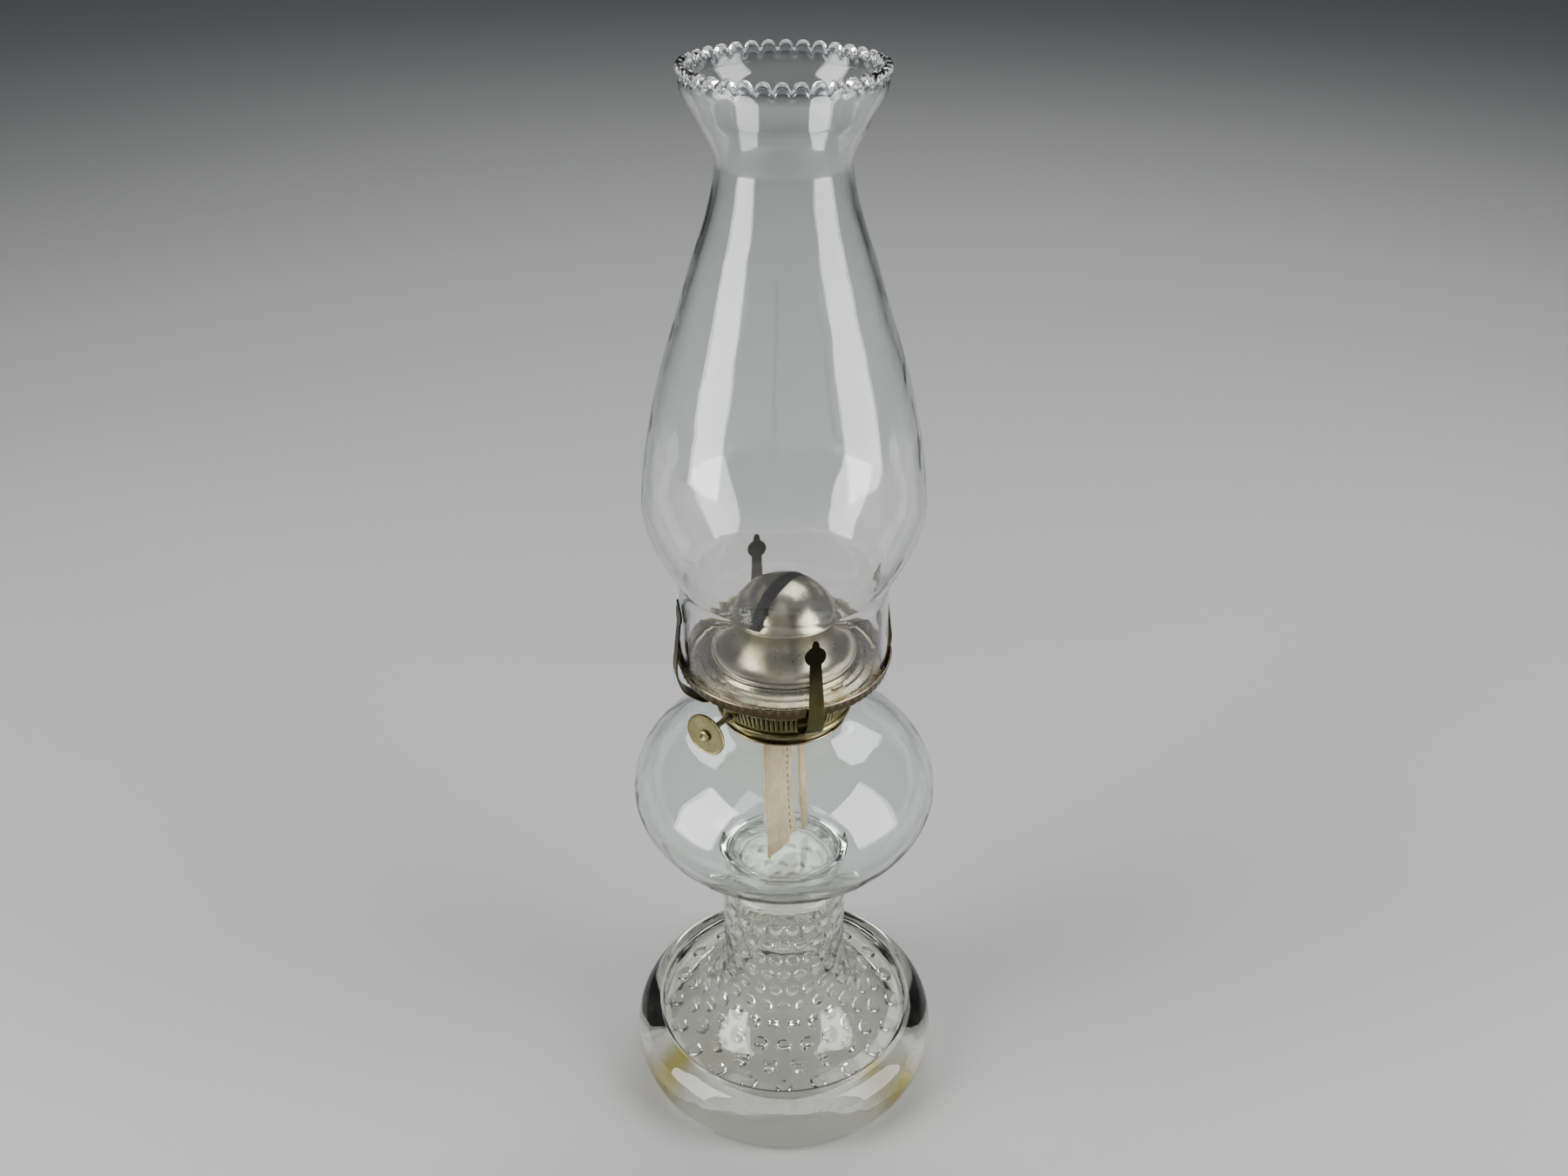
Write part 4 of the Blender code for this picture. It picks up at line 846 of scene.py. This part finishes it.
class LAMP_OT_burner_base(bpy.types.Operator):
    """Make the burner's rolled lip, its plate and the threaded cup around the wick tube"""

    bl_idname = "lamp.burner_base"
    bl_label = "Burner Base"

    def execute(self, context):
        size = context.scene.lamp_burner
        low, high = BOXES["burner_base"]
        plate = high.z - size.sheet / 2
        cup_floor = low.z + size.sheet / 2
        lip = arc((size.lip_radius - 1.2 * MM, plate - 1.1 * MM), 1.1 * MM, 1.1 * MM, -70, 90, 10)
        cup_r = 15.6 * MM
        thread = []
        for turn in range(11):
            depth = 0.8 * MM + turn * 0.5 * MM
            thread.append((cup_r + (0.15 * MM if turn % 2 else -0.15 * MM), plate - depth))
        floor_r = 14.6 * MM
        path = lip + [(cup_r + 0.4 * MM, plate)] + thread
        path += [(cup_r - 0.1 * MM, cup_floor + 0.4 * MM), (floor_r, cup_floor)]
        shape = revolve(rolled(path, size.sheet), 144)
        tube_low, tube_high = BOXES["wick_tube"]
        floor = bmesh.new()
        bmesh.ops.create_circle(
            floor, cap_ends=False, radius=floor_r, segments=64,
            matrix=Matrix.Translation((0, 0, cup_floor)),
        )
        half_x = tube_high.x + 0.15 * MM
        reach = tube_high.y + 0.15 * MM - half_x
        hole = []
        for index in range(64):
            angle = TURN * (index + 0.5) / 64
            shift = reach if math.sin(angle) > 0 else -reach
            point = (half_x * math.cos(angle), half_x * math.sin(angle) + shift, cup_floor)
            hole.append(floor.verts.new(point))
        ring = [floor.edges.new(pair) for pair in zip(hole, hole[1:] + hole[:1])]
        outer = [edge for edge in floor.edges if edge not in ring]
        bmesh.ops.bridge_loops(floor, edges=outer + ring)
        bmesh.ops.recalc_face_normals(floor, faces=floor.faces)
        piece = place_piece("cup_floor", floor, "aged_brass", "burner")
        thicken(piece, size.sheet)
        place_piece("burner_lip", shape, "aged_brass", "burner",
                    ("burner_base",))
        return {"FINISHED"}


class LAMP_OT_air_basket(bpy.types.Operator):
    """Make the flared basket with its ring of fine air slots"""

    bl_idname = "lamp.air_basket"
    bl_label = "Air Basket"

    def execute(self, context):
        size = context.scene.lamp_burner
        low, high = BOXES["air_basket"]
        foot = low.z + 0.05 * MM
        top = high.z - 0.05 * MM
        slope = (size.basket_top - size.basket_foot) / (top - foot)
        heights = [foot, foot + 1.1 * MM, foot + 1.6 * MM, foot + 7.4 * MM, foot + 8.0 * MM, top]
        line = [(size.basket_foot + slope * (z - foot), z) for z in heights]
        columns = 3 * size.basket_slots
        shape = revolve(line, columns, closed=False)
        bush_r = size.basket_foot + slope * (SPINDLE_Z - foot)
        bush_angle = math.atan2(-math.sqrt(bush_r ** 2 - SPINDLE_X ** 2), SPINDLE_X)
        slots = []
        for face in shape.faces:
            centre = face.calc_center_median()
            if heights[2] < centre.z < heights[3]:
                column = int((angle_of(centre) % TURN) / TURN * columns)
                away = (angle_of(centre) - bush_angle + math.pi) % TURN - math.pi
                if column % 3 == 0 and abs(away) > math.radians(6.5):
                    slots.append(face)
        bmesh.ops.delete(shape, geom=slots, context="FACES")
        for vert in shape.verts:
            phase = (angle_of(vert.co) % TURN) / TURN * size.basket_slots % 1.0
            if heights[1] < vert.co.z < heights[4] and 0.4 < phase < 0.9:
                out = 0.16 * MM / radius_of(vert.co)
                spread(vert, 1 + out)
        piece = place_piece("slotted_basket", shape, "aged_brass", "burner",
                            ("air_basket",))
        thicken(piece, size.sheet)
        return {"FINISHED"}


class LAMP_OT_gallery(bpy.types.Operator):
    """Make the stepped gallery with its fluted rim, lances and chimney tray"""

    bl_idname = "lamp.gallery"
    bl_label = "Gallery"

    def execute(self, context):
        size = context.scene.lamp_burner
        low, high = BOXES["gallery"]
        tray = low.z + size.sheet / 2
        rim_r = high.x - size.sheet / 2
        rim_z = high.z - size.sheet / 2
        steps = [
            (36.6, 0.0), (35.9, 0.25), (35.5, 0.9), (34.9, 1.0), (33.4, 1.0), (32.9, 1.45),
            (30.4, 2.05), (29.9, 2.5), (28.4, 2.8), (27.6, 3.2), (27.0, 4.5), (26.3, 4.75),
            (23.7, 4.7),
        ]
        path = millimetres([(0.1, 0.0), (-0.35, -0.55)], rim_r, rim_z)
        path += millimetres([(-0.75, 0.6), (-1.35, 0.0)], rim_r, tray)
        path += millimetres(steps, z=tray)
        shape = revolve(rolled(rounded(path, 0.5 * MM, 3), size.sheet), size.rim_flutes * 4)
        for vert in shape.verts:
            r = radius_of(vert.co)
            if r > 37.6 * MM and vert.co.z < rim_z - 0.3 * MM:
                share = min(1.0, (r - 37.6 * MM) / (0.6 * MM))
                wave = math.cos(angle_of(vert.co) * size.rim_flutes)
                fade = min(1.0, (rim_z - 0.3 * MM - vert.co.z) / (0.8 * MM))
                step = 1 + 0.14 * MM * wave * share * fade / r
                spread(vert, step)
        finish = "gallery_nickel"
        place_piece("stepped_gallery", shape, finish, "burner", ("gallery",))
        edge = arc((rim_r + 0.1 * MM, rim_z), 0.42 * MM, 0.36 * MM, 0, 345, 15)
        roll = revolve(edge, size.rim_flutes * 4)
        for vert in roll.verts:
            wave = 1 + 0.05 * MM * math.cos(angle_of(vert.co) * size.rim_flutes * 2) / rim_r
            spread(vert, wave)
        place_piece("gallery_rim_roll", roll, finish, "burner")
        lances = bmesh.new()
        for base in PRONG_TURNS:
            for turn, r, tall, deep, wide in (
                (24.0, 29.2, 3.35, 1.2, 4.6), (-10.0, 34.2, 1.65, 1.5, 1.6),
                (-14.5, 34.2, 1.55, 1.2, 0.9),
            ):
                place = Matrix.Rotation(base + math.radians(turn), 4, "Z")
                place = place @ Matrix.Translation((r * MM, 0, tray + tall * MM))
                place = place @ Matrix.Rotation(math.radians(14.0), 4, "Y")
                add_box(lances, (deep * MM, wide * MM, 0.45 * MM), place)
        place_piece("gallery_lances", lances, finish, "burner")
        return {"FINISHED"}


class LAMP_OT_bell(bpy.types.Operator):
    """Make the waisted draught bell with its rolled foot"""

    bl_idname = "lamp.bell"
    bl_label = "Draught Bell"

    def execute(self, context):
        size = context.scene.lamp_burner
        low, high = BOXES["draught_bell"]
        foot = low.z + size.sheet / 2
        top = high.z
        flare_r = size.bell_foot - 0.9 * MM
        flare = arc(
            (flare_r, foot + 12.9 * MM), flare_r - size.bell_waist, 12.9 * MM - 0.35 * MM,
            270, 180, 30,
        )
        path = [(size.bell_foot, foot), (size.bell_foot - 0.6 * MM, foot + 0.05 * MM)] + flare
        path += [(size.bell_waist - 0.05 * MM, top - 1.2 * MM), (size.bell_waist, top - 0.2 * MM)]
        shape = revolve(rolled(path, size.sheet), 144)
        shape.normal_update()
        for face in shape.faces:
            centre = face.calc_center_median()
            outward = face.normal.x * centre.x + face.normal.y * centre.y
            face.material_index = 1 if outward < -0.2 * centre.xy.length else 0
        finish = "bell_nickel"
        bell = place_piece("waisted_bell", shape, finish, "burner",
                           ("draught_bell",))
        bell.data.materials.append(finish_named("soot"))
        centre = (size.bell_foot + 0.05 * MM, foot + 0.15 * MM)
        ring = revolve(arc(centre, 0.4 * MM, 0.36 * MM, 0, 345, 11), 144)
        place_piece("bell_foot_roll", ring, finish, "burner")
        return {"FINISHED"}


class LAMP_OT_dome(bpy.types.Operator):
    """Make the slotted flame dome with its bright rolled edge"""

    bl_idname = "lamp.dome"
    bl_label = "Flame Dome"

    def execute(self, context):
        size = context.scene.lamp_burner
        low, high = BOXES["flame_dome"]
        foot = low.z + size.sheet / 2
        radius, height = size.dome_radius, size.dome_height
        ball = (radius ** 2 + height ** 2) / (2 * height)
        tilt = math.asin((ball - height) / ball)
        path = [(radius - 2.2 * MM, foot), (radius - 0.6 * MM, foot)]
        steps = 30
        for step in range(1, steps):
            angle = tilt + (math.pi / 2 - tilt) * step / steps
            path.append((ball * math.cos(angle), foot + height - ball + ball * math.sin(angle)))
        path.append((0.0, foot + height))
        shape = revolve(rolled(rounded(path, 0.4 * MM, 2)[:-1] + [path[-1]], size.sheet), 144)
        half = size.slot_width / 2
        sill = foot + 1.3 * MM
        cuts = (
            ((half, 0, 0), (1, 0, 0)), ((-half, 0, 0), (1, 0, 0)),
            ((0, size.slot_back, 0), (0, 1, 0)), ((0, 0, sill), (0, 0, 1)),
        )
        for point, normal in cuts:
            geometry = shape.verts[:] + shape.edges[:] + shape.faces[:]
            bmesh.ops.bisect_plane(shape, geom=geometry, plane_co=point, plane_no=normal)
        gone = []
        for face in shape.faces:
            centre = face.calc_center_median()
            if abs(centre.x) < half and centre.y < size.slot_back and centre.z > sill:
                gone.append(face)
        bmesh.ops.delete(shape, geom=gone, context="FACES")
        open_edges = [edge for edge in shape.edges if edge.is_boundary]
        bmesh.ops.bridge_loops(shape, edges=open_edges)
        stray = [edge for edge in shape.edges if edge.is_wire]
        bmesh.ops.delete(shape, geom=stray, context="EDGES")
        bmesh.ops.recalc_face_normals(shape, faces=shape.faces)
        middle = Vector((0.0, 0.0, foot + height - ball))
        for face in shape.faces:
            reach = (face.calc_center_median() - middle).length
            face.material_index = 1 if reach < ball - 0.4 * size.sheet else 0
        finish = "dome_nickel"
        dome = place_piece("slotted_dome", shape, finish, "burner",
                           ("flame_dome",))
        dome.data.materials.append(finish_named("soot"))
        centre = (radius - 0.15 * MM, foot + 0.2 * MM)
        ring = revolve(arc(centre, 0.5 * MM, 0.42 * MM, 0, 345, 11), 144)
        place_piece("dome_rolled_edge", ring, finish, "burner")
        return {"FINISHED"}


def prong_line():
    """Middle line (r, z) of one spring strip, from its riveted tab to its nub, in metres."""
    low, high = BOXES["air_basket"]
    size = bpy.context.scene.lamp_burner
    slope = (size.basket_top - size.basket_foot) / (high.z - low.z)
    away = 0.9 * MM

    def wall(z):
        return size.basket_foot + slope * (z - low.z) + away

    tab_top = high.z - 1.6 * MM
    bend = 193.9 * MM
    tab = [(wall(tab_top - step * 0.7 * MM), tab_top - step * 0.7 * MM) for step in range(13)]
    heel = [(wall(bend + 0.6 * MM), bend + 0.6 * MM)]
    heel += millimetres([(0.9, -1.3), (3.9, -1.7)], wall(bend), bend)
    heel += millimetres([
        (35.2, 194.6), (39.0, 198.5), (41.0, 206.0), (40.4, 213.5), (38.78, 229.5),
        (39.05, 235.9),
    ])
    return tab + smooth(heel, 9, start_direction=(-0.1, -1.0))


def prong_width(z, tip):
    """Full width of the strip at a height."""
    size = bpy.context.scene.lamp_burner
    ball_z = 229.5 * MM
    rim = 207.5 * MM
    if z < rim:
        share = max(0.0, (z - 192.0 * MM) / (rim - 192.0 * MM))
        return (6.8 - 1.1 * share) * MM
    rise = (z - ball_z) / size.prong_ball
    if rise < -0.8:
        share = (z - rim) / (ball_z - size.prong_ball - rim)
        return (5.7 - 1.5 * min(1.0, share)) * MM
    if rise < 1.0:
        return max(2 * size.prong_ball * math.sqrt(max(0.0, 1 - rise ** 2)),
                   4.2 * MM if rise < 0 else 2.6 * MM)
    nub = (z - ball_z - size.prong_ball) / (tip - ball_z - size.prong_ball)
    return 2.6 * MM * math.sqrt(max(0.06, 1 - max(0.0, nub * 1.25 - 0.25) ** 2))


class LAMP_OT_prongs(bpy.types.Operator):
    """Make the four spring strips that hold the chimney"""

    bl_idname = "lamp.prongs"
    bl_label = "Spring Prongs"

    def execute(self, context):
        size = context.scene.lamp_burner
        line, total = even_steps(prong_line(), 0.5 * MM)
        tip = line[-1][1]
        finish = "prong_brass"
        for number, turn in enumerate(PRONG_TURNS, 1):
            shape = bmesh.new()
            rows = []
            for step, (r, z) in enumerate(line):
                first = step / (len(line) - 1) * total < 6.0 * MM
                half = (6.8 * MM if first else prong_width(z, tip)) / 2
                rows.append([shape.verts.new((r, (k / 3 - 1) * half, z)) for k in range(7)])
            for here, there in zip(rows, rows[1:]):
                for step in range(6):
                    shape.faces.new((here[step], here[step + 1], there[step + 1], there[step]))
            bmesh.ops.recalc_face_normals(shape, faces=shape.faces)
            bmesh.ops.rotate(
                shape, verts=shape.verts, cent=(0, 0, 0), matrix=Matrix.Rotation(turn, 3, "Z")
            )
            piece = place_piece(
                f"spring_prong_{number}", shape, finish, "burner",
                (f"prong_root_{number}", f"prong_{number}"),
            )
            thicken(piece, size.prong_thickness)
            edge = piece.modifiers.new("edge", "BEVEL")
            edge.width = 0.12 * MM
            edge.segments = 2
            edge.limit_method = "ANGLE"
            edge.angle_limit = math.radians(50.0)
            piece.parent = None
            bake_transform(piece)
        return {"FINISHED"}


class LAMP_OT_rivets(bpy.types.Operator):
    """Make the domed rivets that hold the prongs"""

    bl_idname = "lamp.rivets"
    bl_label = "Prong Rivets"

    def execute(self, context):
        for number, turn in enumerate(PRONG_TURNS, 1):
            low, high = BOXES[f"prong_rivet_{number}"]
            centre = (low + high) / 2
            lean = math.atan2(5.2, 18.0)
            outline = millimetres(
                [(0.0, -1.55), (1.2, -1.5), (1.85, -1.0), (1.0, -0.95), (1.0, 0.65)]
            )
            outline += arc((0.0, 0.65 * MM), 1.9 * MM, 0.75 * MM, 0, 90, 7)[:-1]
            outline.append((0.0, 1.4 * MM))
            shape = revolve(outline, 32)
            place = Matrix.Translation(centre) @ Matrix.Rotation(turn, 4, "Z")
            place = place @ Matrix.Rotation(math.pi / 2 + lean, 4, "Y")
            bmesh.ops.transform(shape, matrix=place, verts=shape.verts)
            place_piece(f"domed_rivet_{number}", shape, "aged_brass", "burner",
                        (f"prong_rivet_{number}",))
        return {"FINISHED"}


# ---------------------------------------------------------------- winding gear


def along_spindle():
    """Matrix that carries +Z to the spindle's outward direction, about its own axis."""
    return Matrix.Translation((SPINDLE_X, 0, SPINDLE_Z)) @ Matrix.Rotation(math.pi / 2, 4, "X")


class LAMP_OT_spindle(bpy.types.Operator):
    """Make the winding spindle, its shoulder and the bush in the basket"""

    bl_idname = "lamp.spindle"
    bl_label = "Spindle"

    def execute(self, context):
        low, high = BOXES["spindle"]
        tail = -high.y
        front = -low.y
        radius = 1.1 * MM
        shoulder = front - 1.7 * MM
        neck = [(0.0, 22.0), (-0.15, 22.3), (-0.15, 23.1), (0.0, 23.4)]
        path = [(0.0, tail), (radius - 0.3 * MM, tail), (radius, tail + 0.3 * MM)]
        path += millimetres(neck, r=radius) + [(radius, shoulder - 1.5 * MM)]
        path += millimetres([(1.9, -1.35), (2.0, -1.1), (2.0, -0.1)], z=shoulder)
        path += [(radius, shoulder), (radius, front), (0.0, front)]
        shape = revolve(rounded(path, 0.15 * MM, 3), 40)
        bmesh.ops.transform(shape, matrix=along_spindle(), verts=shape.verts)
        place_piece("wound_spindle", shape, "spindle_steel", "winder",
                    ("spindle",))
        low, high = BOXES["spindle_bush"]
        front, back = -low.y, -high.y
        path = millimetres([(1.42, 0.0), (2.2, 0.0)], z=back)
        flange = [(2.2, -0.5), (3.1, -0.5), (3.1, -0.15), (2.6, 0.0), (1.42, 0.0)]
        path += millimetres(flange, z=front)
        bush = revolve(path, 40)
        bevelled(bush, 0.08 * MM)
        bmesh.ops.transform(bush, matrix=along_spindle(), verts=bush.verts)
        place_piece("flanged_bush", bush, "aged_brass", "burner",
                    ("spindle_bush",))
        return {"FINISHED"}


class LAMP_OT_thumbwheel(bpy.types.Operator):
    """Make the knurled, stippled thumbwheel and its peened eyelet"""

    bl_idname = "lamp.thumbwheel"
    bl_label = "Thumbwheel"

    def execute(self, context):
        size = context.scene.lamp_burner
        low, high = BOXES["thumbwheel"]
        back, front = -high.y, -low.y
        radius = size.wheel_radius
        face_r = radius - 0.75 * MM
        path = [(1.45 * MM, back)] + millimetres([(-0.35, 0.0), (0.0, 0.3)], radius, back)
        path += millimetres([(0.0, -0.3), (-0.35, 0.0)], radius, front)
        path.append((face_r, front - 0.12 * MM))
        steps = 22
        for step in range(1, steps + 1):
            path.append((face_r + (1.45 * MM - face_r) * step / steps, front - 0.2 * MM))
        shape = revolve(path, size.wheel_knurls * 6)
        for vert in shape.verts:
            r = radius_of(vert.co)
            turn = angle_of(vert.co)
            if r > radius - 0.4 * MM:
                wave = math.cos(turn * size.wheel_knurls)
                ramp = (r - (radius - 0.4 * MM)) / (0.4 * MM)
                step = 1 + 0.22 * MM * (min(0.4, wave) - 0.4) * ramp / r
                spread(vert, step)
            elif vert.co.z > front - 0.25 * MM and r > 1.5 * MM:
                spot = noise.cell(Vector((vert.co.x, vert.co.y, 0.0)) / (0.34 * MM))
                grain = noise.noise(Vector((vert.co.x, vert.co.y, 3.0)) / (0.3 * MM))
                vert.co.z += 0.045 * MM * grain + 0.02 * MM * spot
        bmesh.ops.transform(shape, matrix=along_spindle(), verts=shape.verts)
        place_piece("knurled_thumbwheel", shape, "wheel_brass", "winder",
                    ("thumbwheel",), sharp=50.0)
        low, high = BOXES["thumbwheel_rivet"]
        back, front = -high.y, -low.y
        path = millimetres([(0.0, 0.0), (2.25, 0.0), (2.35, 0.2)], z=back)
        path += millimetres([(2.1, -0.2), (1.7, 0.0), (1.35, -0.1), (1.0, -0.55)], z=front)
        path.append((0.0, back + 0.15 * MM))
        shape = revolve(rounded(path, 0.25 * MM, 3), 48)
        for vert in shape.verts:
            r = radius_of(vert.co)
            if r > 0.9 * MM and vert.co.z > back + 0.25 * MM:
                ragged = noise.noise(Vector((vert.co.x, vert.co.y, 0.0)) / (0.9 * MM))
                vert.co.z += 0.18 * MM * ragged
                spread(vert, 1 + 0.07 * ragged)
        bmesh.ops.transform(shape, matrix=along_spindle(), verts=shape.verts)
        place_piece("peened_eyelet", shape, "wheel_brass", "winder",
                    ("thumbwheel_rivet",))
        return {"FINISHED"}


class LAMP_OT_inner_metal(bpy.types.Operator):
    """Give the wick tube, the spur gear and the cement their finishes"""

    bl_idname = "lamp.inner_metal"
    bl_label = "Inner Metal"

    def execute(self, context):
        finishes = {"wick_tube": "tube_brass", "spur_housing": "aged_brass",
                    "collar_cement": "plaster"}
        for number in (1, 2, 3):
            finishes[f"spur_wheel_{number}"] = "aged_brass"
        for node, finish in finishes.items():
            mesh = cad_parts[node].data
            mesh.materials.clear()
            mesh.materials.append(finish_named(finish))
        return {"FINISHED"}


# ---------------------------------------------------------------- wick


def frayed(y, seed):
    """How far the wick's torn end is above its lowest point, in metres."""
    slow = noise.noise(Vector((y / (4.0 * MM), seed, 0.0)))
    fast = noise.noise(Vector((y / (0.9 * MM), seed, 5.0)))
    return max(0.0, 1.6 * slow + 0.7 * fast + 1.2) * MM


def sway(y, z):
    """How far the free tails hang out of the wick's plane, in metres."""
    free = min(1.0, max(0.0, (0.166 - z) / 0.05))
    slow = noise.noise(Vector((y / (9 * MM), z / (16 * MM), 2.0)))
    return free * free * 2.2 * MM + free * 0.9 * MM * slow


class LAMP_OT_wick(bpy.types.Operator):
    """Make the woven wick with its broad and thin tails and its stitch line"""

    bl_idname = "lamp.wick"
    bl_label = "Wick"

    def execute(self, context):
        size = context.scene.lamp_wick
        low, high = BOXES["wick"]
        across, tall = 84, 380
        shape = bmesh.new()
        bmesh.ops.create_grid(shape, x_segments=across, y_segments=tall, size=0.5)
        height = high.z - low.z
        thin = size.width / 2 - size.thin_tail
        broad = thin - size.slit
        gone = []
        for vert in shape.verts:
            y = vert.co.x * size.width
            z = low.z + (vert.co.y + 0.5) * height
            vert.co = (0.0, y, z)
        for face in shape.faces:
            centre = face.calc_center_median()
            in_slit = broad < centre.y < thin and centre.z < size.slit_top
            notch = 2.6 * MM if 0.6 * MM < centre.y < broad else 0.0
            lowest = low.z + frayed(centre.y, 1.0) + notch
            if centre.y >= thin:
                lowest = low.z + frayed(centre.y, 7.0) * 0.6
            if in_slit or centre.z < lowest:
                gone.append(face)
        bmesh.ops.delete(shape, geom=gone, context="FACES")
        area = sum(face.calc_area() for face in shape.faces)
        bmesh.ops.recalc_face_normals(shape, faces=shape.faces)
        for vert in shape.verts:
            y, z = vert.co.y, vert.co.z
            weave = math.sin(y / (0.30 * MM) * math.pi) * math.sin(z / (0.45 * MM) * math.pi)
            vert.co.x += 0.05 * MM * weave + sway(y, z)
        piece = place_piece("woven_wick", shape, "cotton", "wick",
                            ("wick",), sharp=180.0)
        thicken(piece, size.thickness - 0.3 * MM)
        stitches = bmesh.new()
        z = low.z + 8.0 * MM
        number = 0
        while z < 0.178:
            long = (1.5 + 0.7 * noise.noise(Vector((number * 3.7, 0, 0)))) * MM
            drift = 0.25 * MM * noise.noise(Vector((number * 0.9, 4.0, 0)))
            for side in (-1, 1):
                x = sway(1.2 * MM + drift, z) + side * 0.62 * MM
                add_box(stitches, (0.3 * MM, 0.5 * MM, long),
                        Matrix.Translation((x, 1.2 * MM + drift, z)))
            z += long + (1.6 + 1.0 * noise.noise(Vector((number * 1.3, 9.0, 0)))) * MM
            number += 1
        line = place_piece("wick_stitch_line", stitches, "stitch", "wick")
        return {"FINISHED"}


# ---------------------------------------------------------------- stage


CAMERA_TURN = 36.0
CAMERA_PITCH = 31.396
CAMERA_DISTANCE = 0.437
CAMERA_HEIGHT = 0.5008
CAMERA_LENS = 32.656
LIGHT_AIM = Vector((0.0, 0.0, 0.22))


def set_in_place(name, data, place):
    thing = bpy.data.objects.new(name, data)
    thing.matrix_world = place
    bpy.context.scene.collection.objects.link(thing)
    return thing


class LAMP_OT_stage(bpy.types.Operator):
    """Add the pale floor, the soft lights and the camera"""

    bl_idname = "lamp.stage"
    bl_label = "Stage"

    def execute(self, context):
        colours = context.scene.lamp_colours
        floor = bmesh.new()
        bmesh.ops.create_grid(floor, x_segments=2, y_segments=2, size=6.0)
        mesh = bpy.data.meshes.new("floor")
        floor.to_mesh(mesh)
        floor.free()
        paint = Painter("pale_floor")
        cloud = paint.noise(1.5, 2.0)
        paler = tuple(min(1.0, part * 1.05) for part in colours.floor)
        mesh.materials.append(paint.finish(paint.mix(cloud, colours.floor, paler), 0.85, None))
        thing = set_in_place("floor", mesh, Matrix())

        world = bpy.data.worlds.new("studio")
        context.scene.world = world
        world.use_nodes = True
        background = world.node_tree.nodes["Background"]
        background.inputs["Color"].default_value = (0.55, 0.57, 0.61, 1.0)
        background.inputs["Strength"].default_value = 0.22

        softboxes = (
            ("left_softbox", -66.0, 1.2, 0.62, 0.72, 1.45, 23.0),
            ("right_softbox", 68.0, 1.2, 0.62, 0.80, 1.45, 21.0),
            ("top_fill", 165.0, 1.0, 1.7, 1.2, 1.2, 15.0),
        )
        for name, turn, distance, height, width, tall, power in softboxes:
            light = bpy.data.lights.new(name, "AREA")
            light.shape = "RECTANGLE"
            light.size = width
            light.size_y = tall
            light.energy = power
            angle = math.radians(CAMERA_TURN + turn - 90.0)
            spot = Vector((distance * math.cos(angle), distance * math.sin(angle), height))
            aim = LIGHT_AIM - spot
            turned = aim.to_track_quat("-Z", "Y").to_matrix().to_4x4()
            set_in_place(name, light, Matrix.Translation(spot) @ turned)

        lens = bpy.data.cameras.new("camera")
        lens.sensor_width = 36.0
        lens.lens = CAMERA_LENS
        lens.clip_start = 0.01
        turn = math.radians(CAMERA_TURN)
        away = CAMERA_DISTANCE
        spot = Vector((away * math.sin(turn), -away * math.cos(turn), CAMERA_HEIGHT))
        tilt = Matrix.Rotation(math.radians(90 - CAMERA_PITCH), 4, "X")
        look = Matrix.Rotation(turn, 4, "Z") @ tilt
        context.scene.camera = set_in_place("camera", lens, Matrix.Translation(spot) @ look)
        context.scene.view_settings.view_transform = "AgX"
        context.scene.view_settings.look = "AgX - Medium High Contrast"
        return {"FINISHED"}


# ---------------------------------------------------------------- panel and registration

OPERATORS = (
    LAMP_OT_foot, LAMP_OT_font, LAMP_OT_chimney, LAMP_OT_collar, LAMP_OT_burner_base,
    LAMP_OT_air_basket, LAMP_OT_gallery, LAMP_OT_bell, LAMP_OT_dome, LAMP_OT_prongs,
    LAMP_OT_rivets, LAMP_OT_spindle, LAMP_OT_thumbwheel, LAMP_OT_inner_metal, LAMP_OT_wick,
    LAMP_OT_stage,
)
GROUPS = (
    ("lamp_glass", GlassSizes), ("lamp_burner", BurnerSizes), ("lamp_wick", WickSizes),
    ("lamp_colours", LampColours),
)


class LAMP_PT_panel(bpy.types.Panel):
    """Lists the lamp's pieces in the sidebar"""

    bl_idname = "LAMP_PT_panel"
    bl_label = "Oil Lamp"
    bl_space_type = "VIEW_3D"
    bl_region_type = "UI"
    bl_category = "Oil Lamp"

    def draw(self, context):
        for operator in OPERATORS:
            self.layout.operator(operator.bl_idname)


def register():
    for name, group in GROUPS:
        bpy.utils.register_class(group)
        setattr(bpy.types.Scene, name, bpy.props.PointerProperty(type=group))
    for operator in OPERATORS:
        bpy.utils.register_class(operator)
    bpy.utils.register_class(LAMP_PT_panel)


def unregister():
    bpy.utils.unregister_class(LAMP_PT_panel)
    for operator in reversed(OPERATORS):
        bpy.utils.unregister_class(operator)
    for name, group in reversed(GROUPS):
        delattr(bpy.types.Scene, name)
        bpy.utils.unregister_class(group)


def main():
    register()
    for operator in OPERATORS:
        call = operator.bl_idname.split(".")[1]
        getattr(bpy.ops.lamp, call)()


if __name__ == "__main__":
    main()
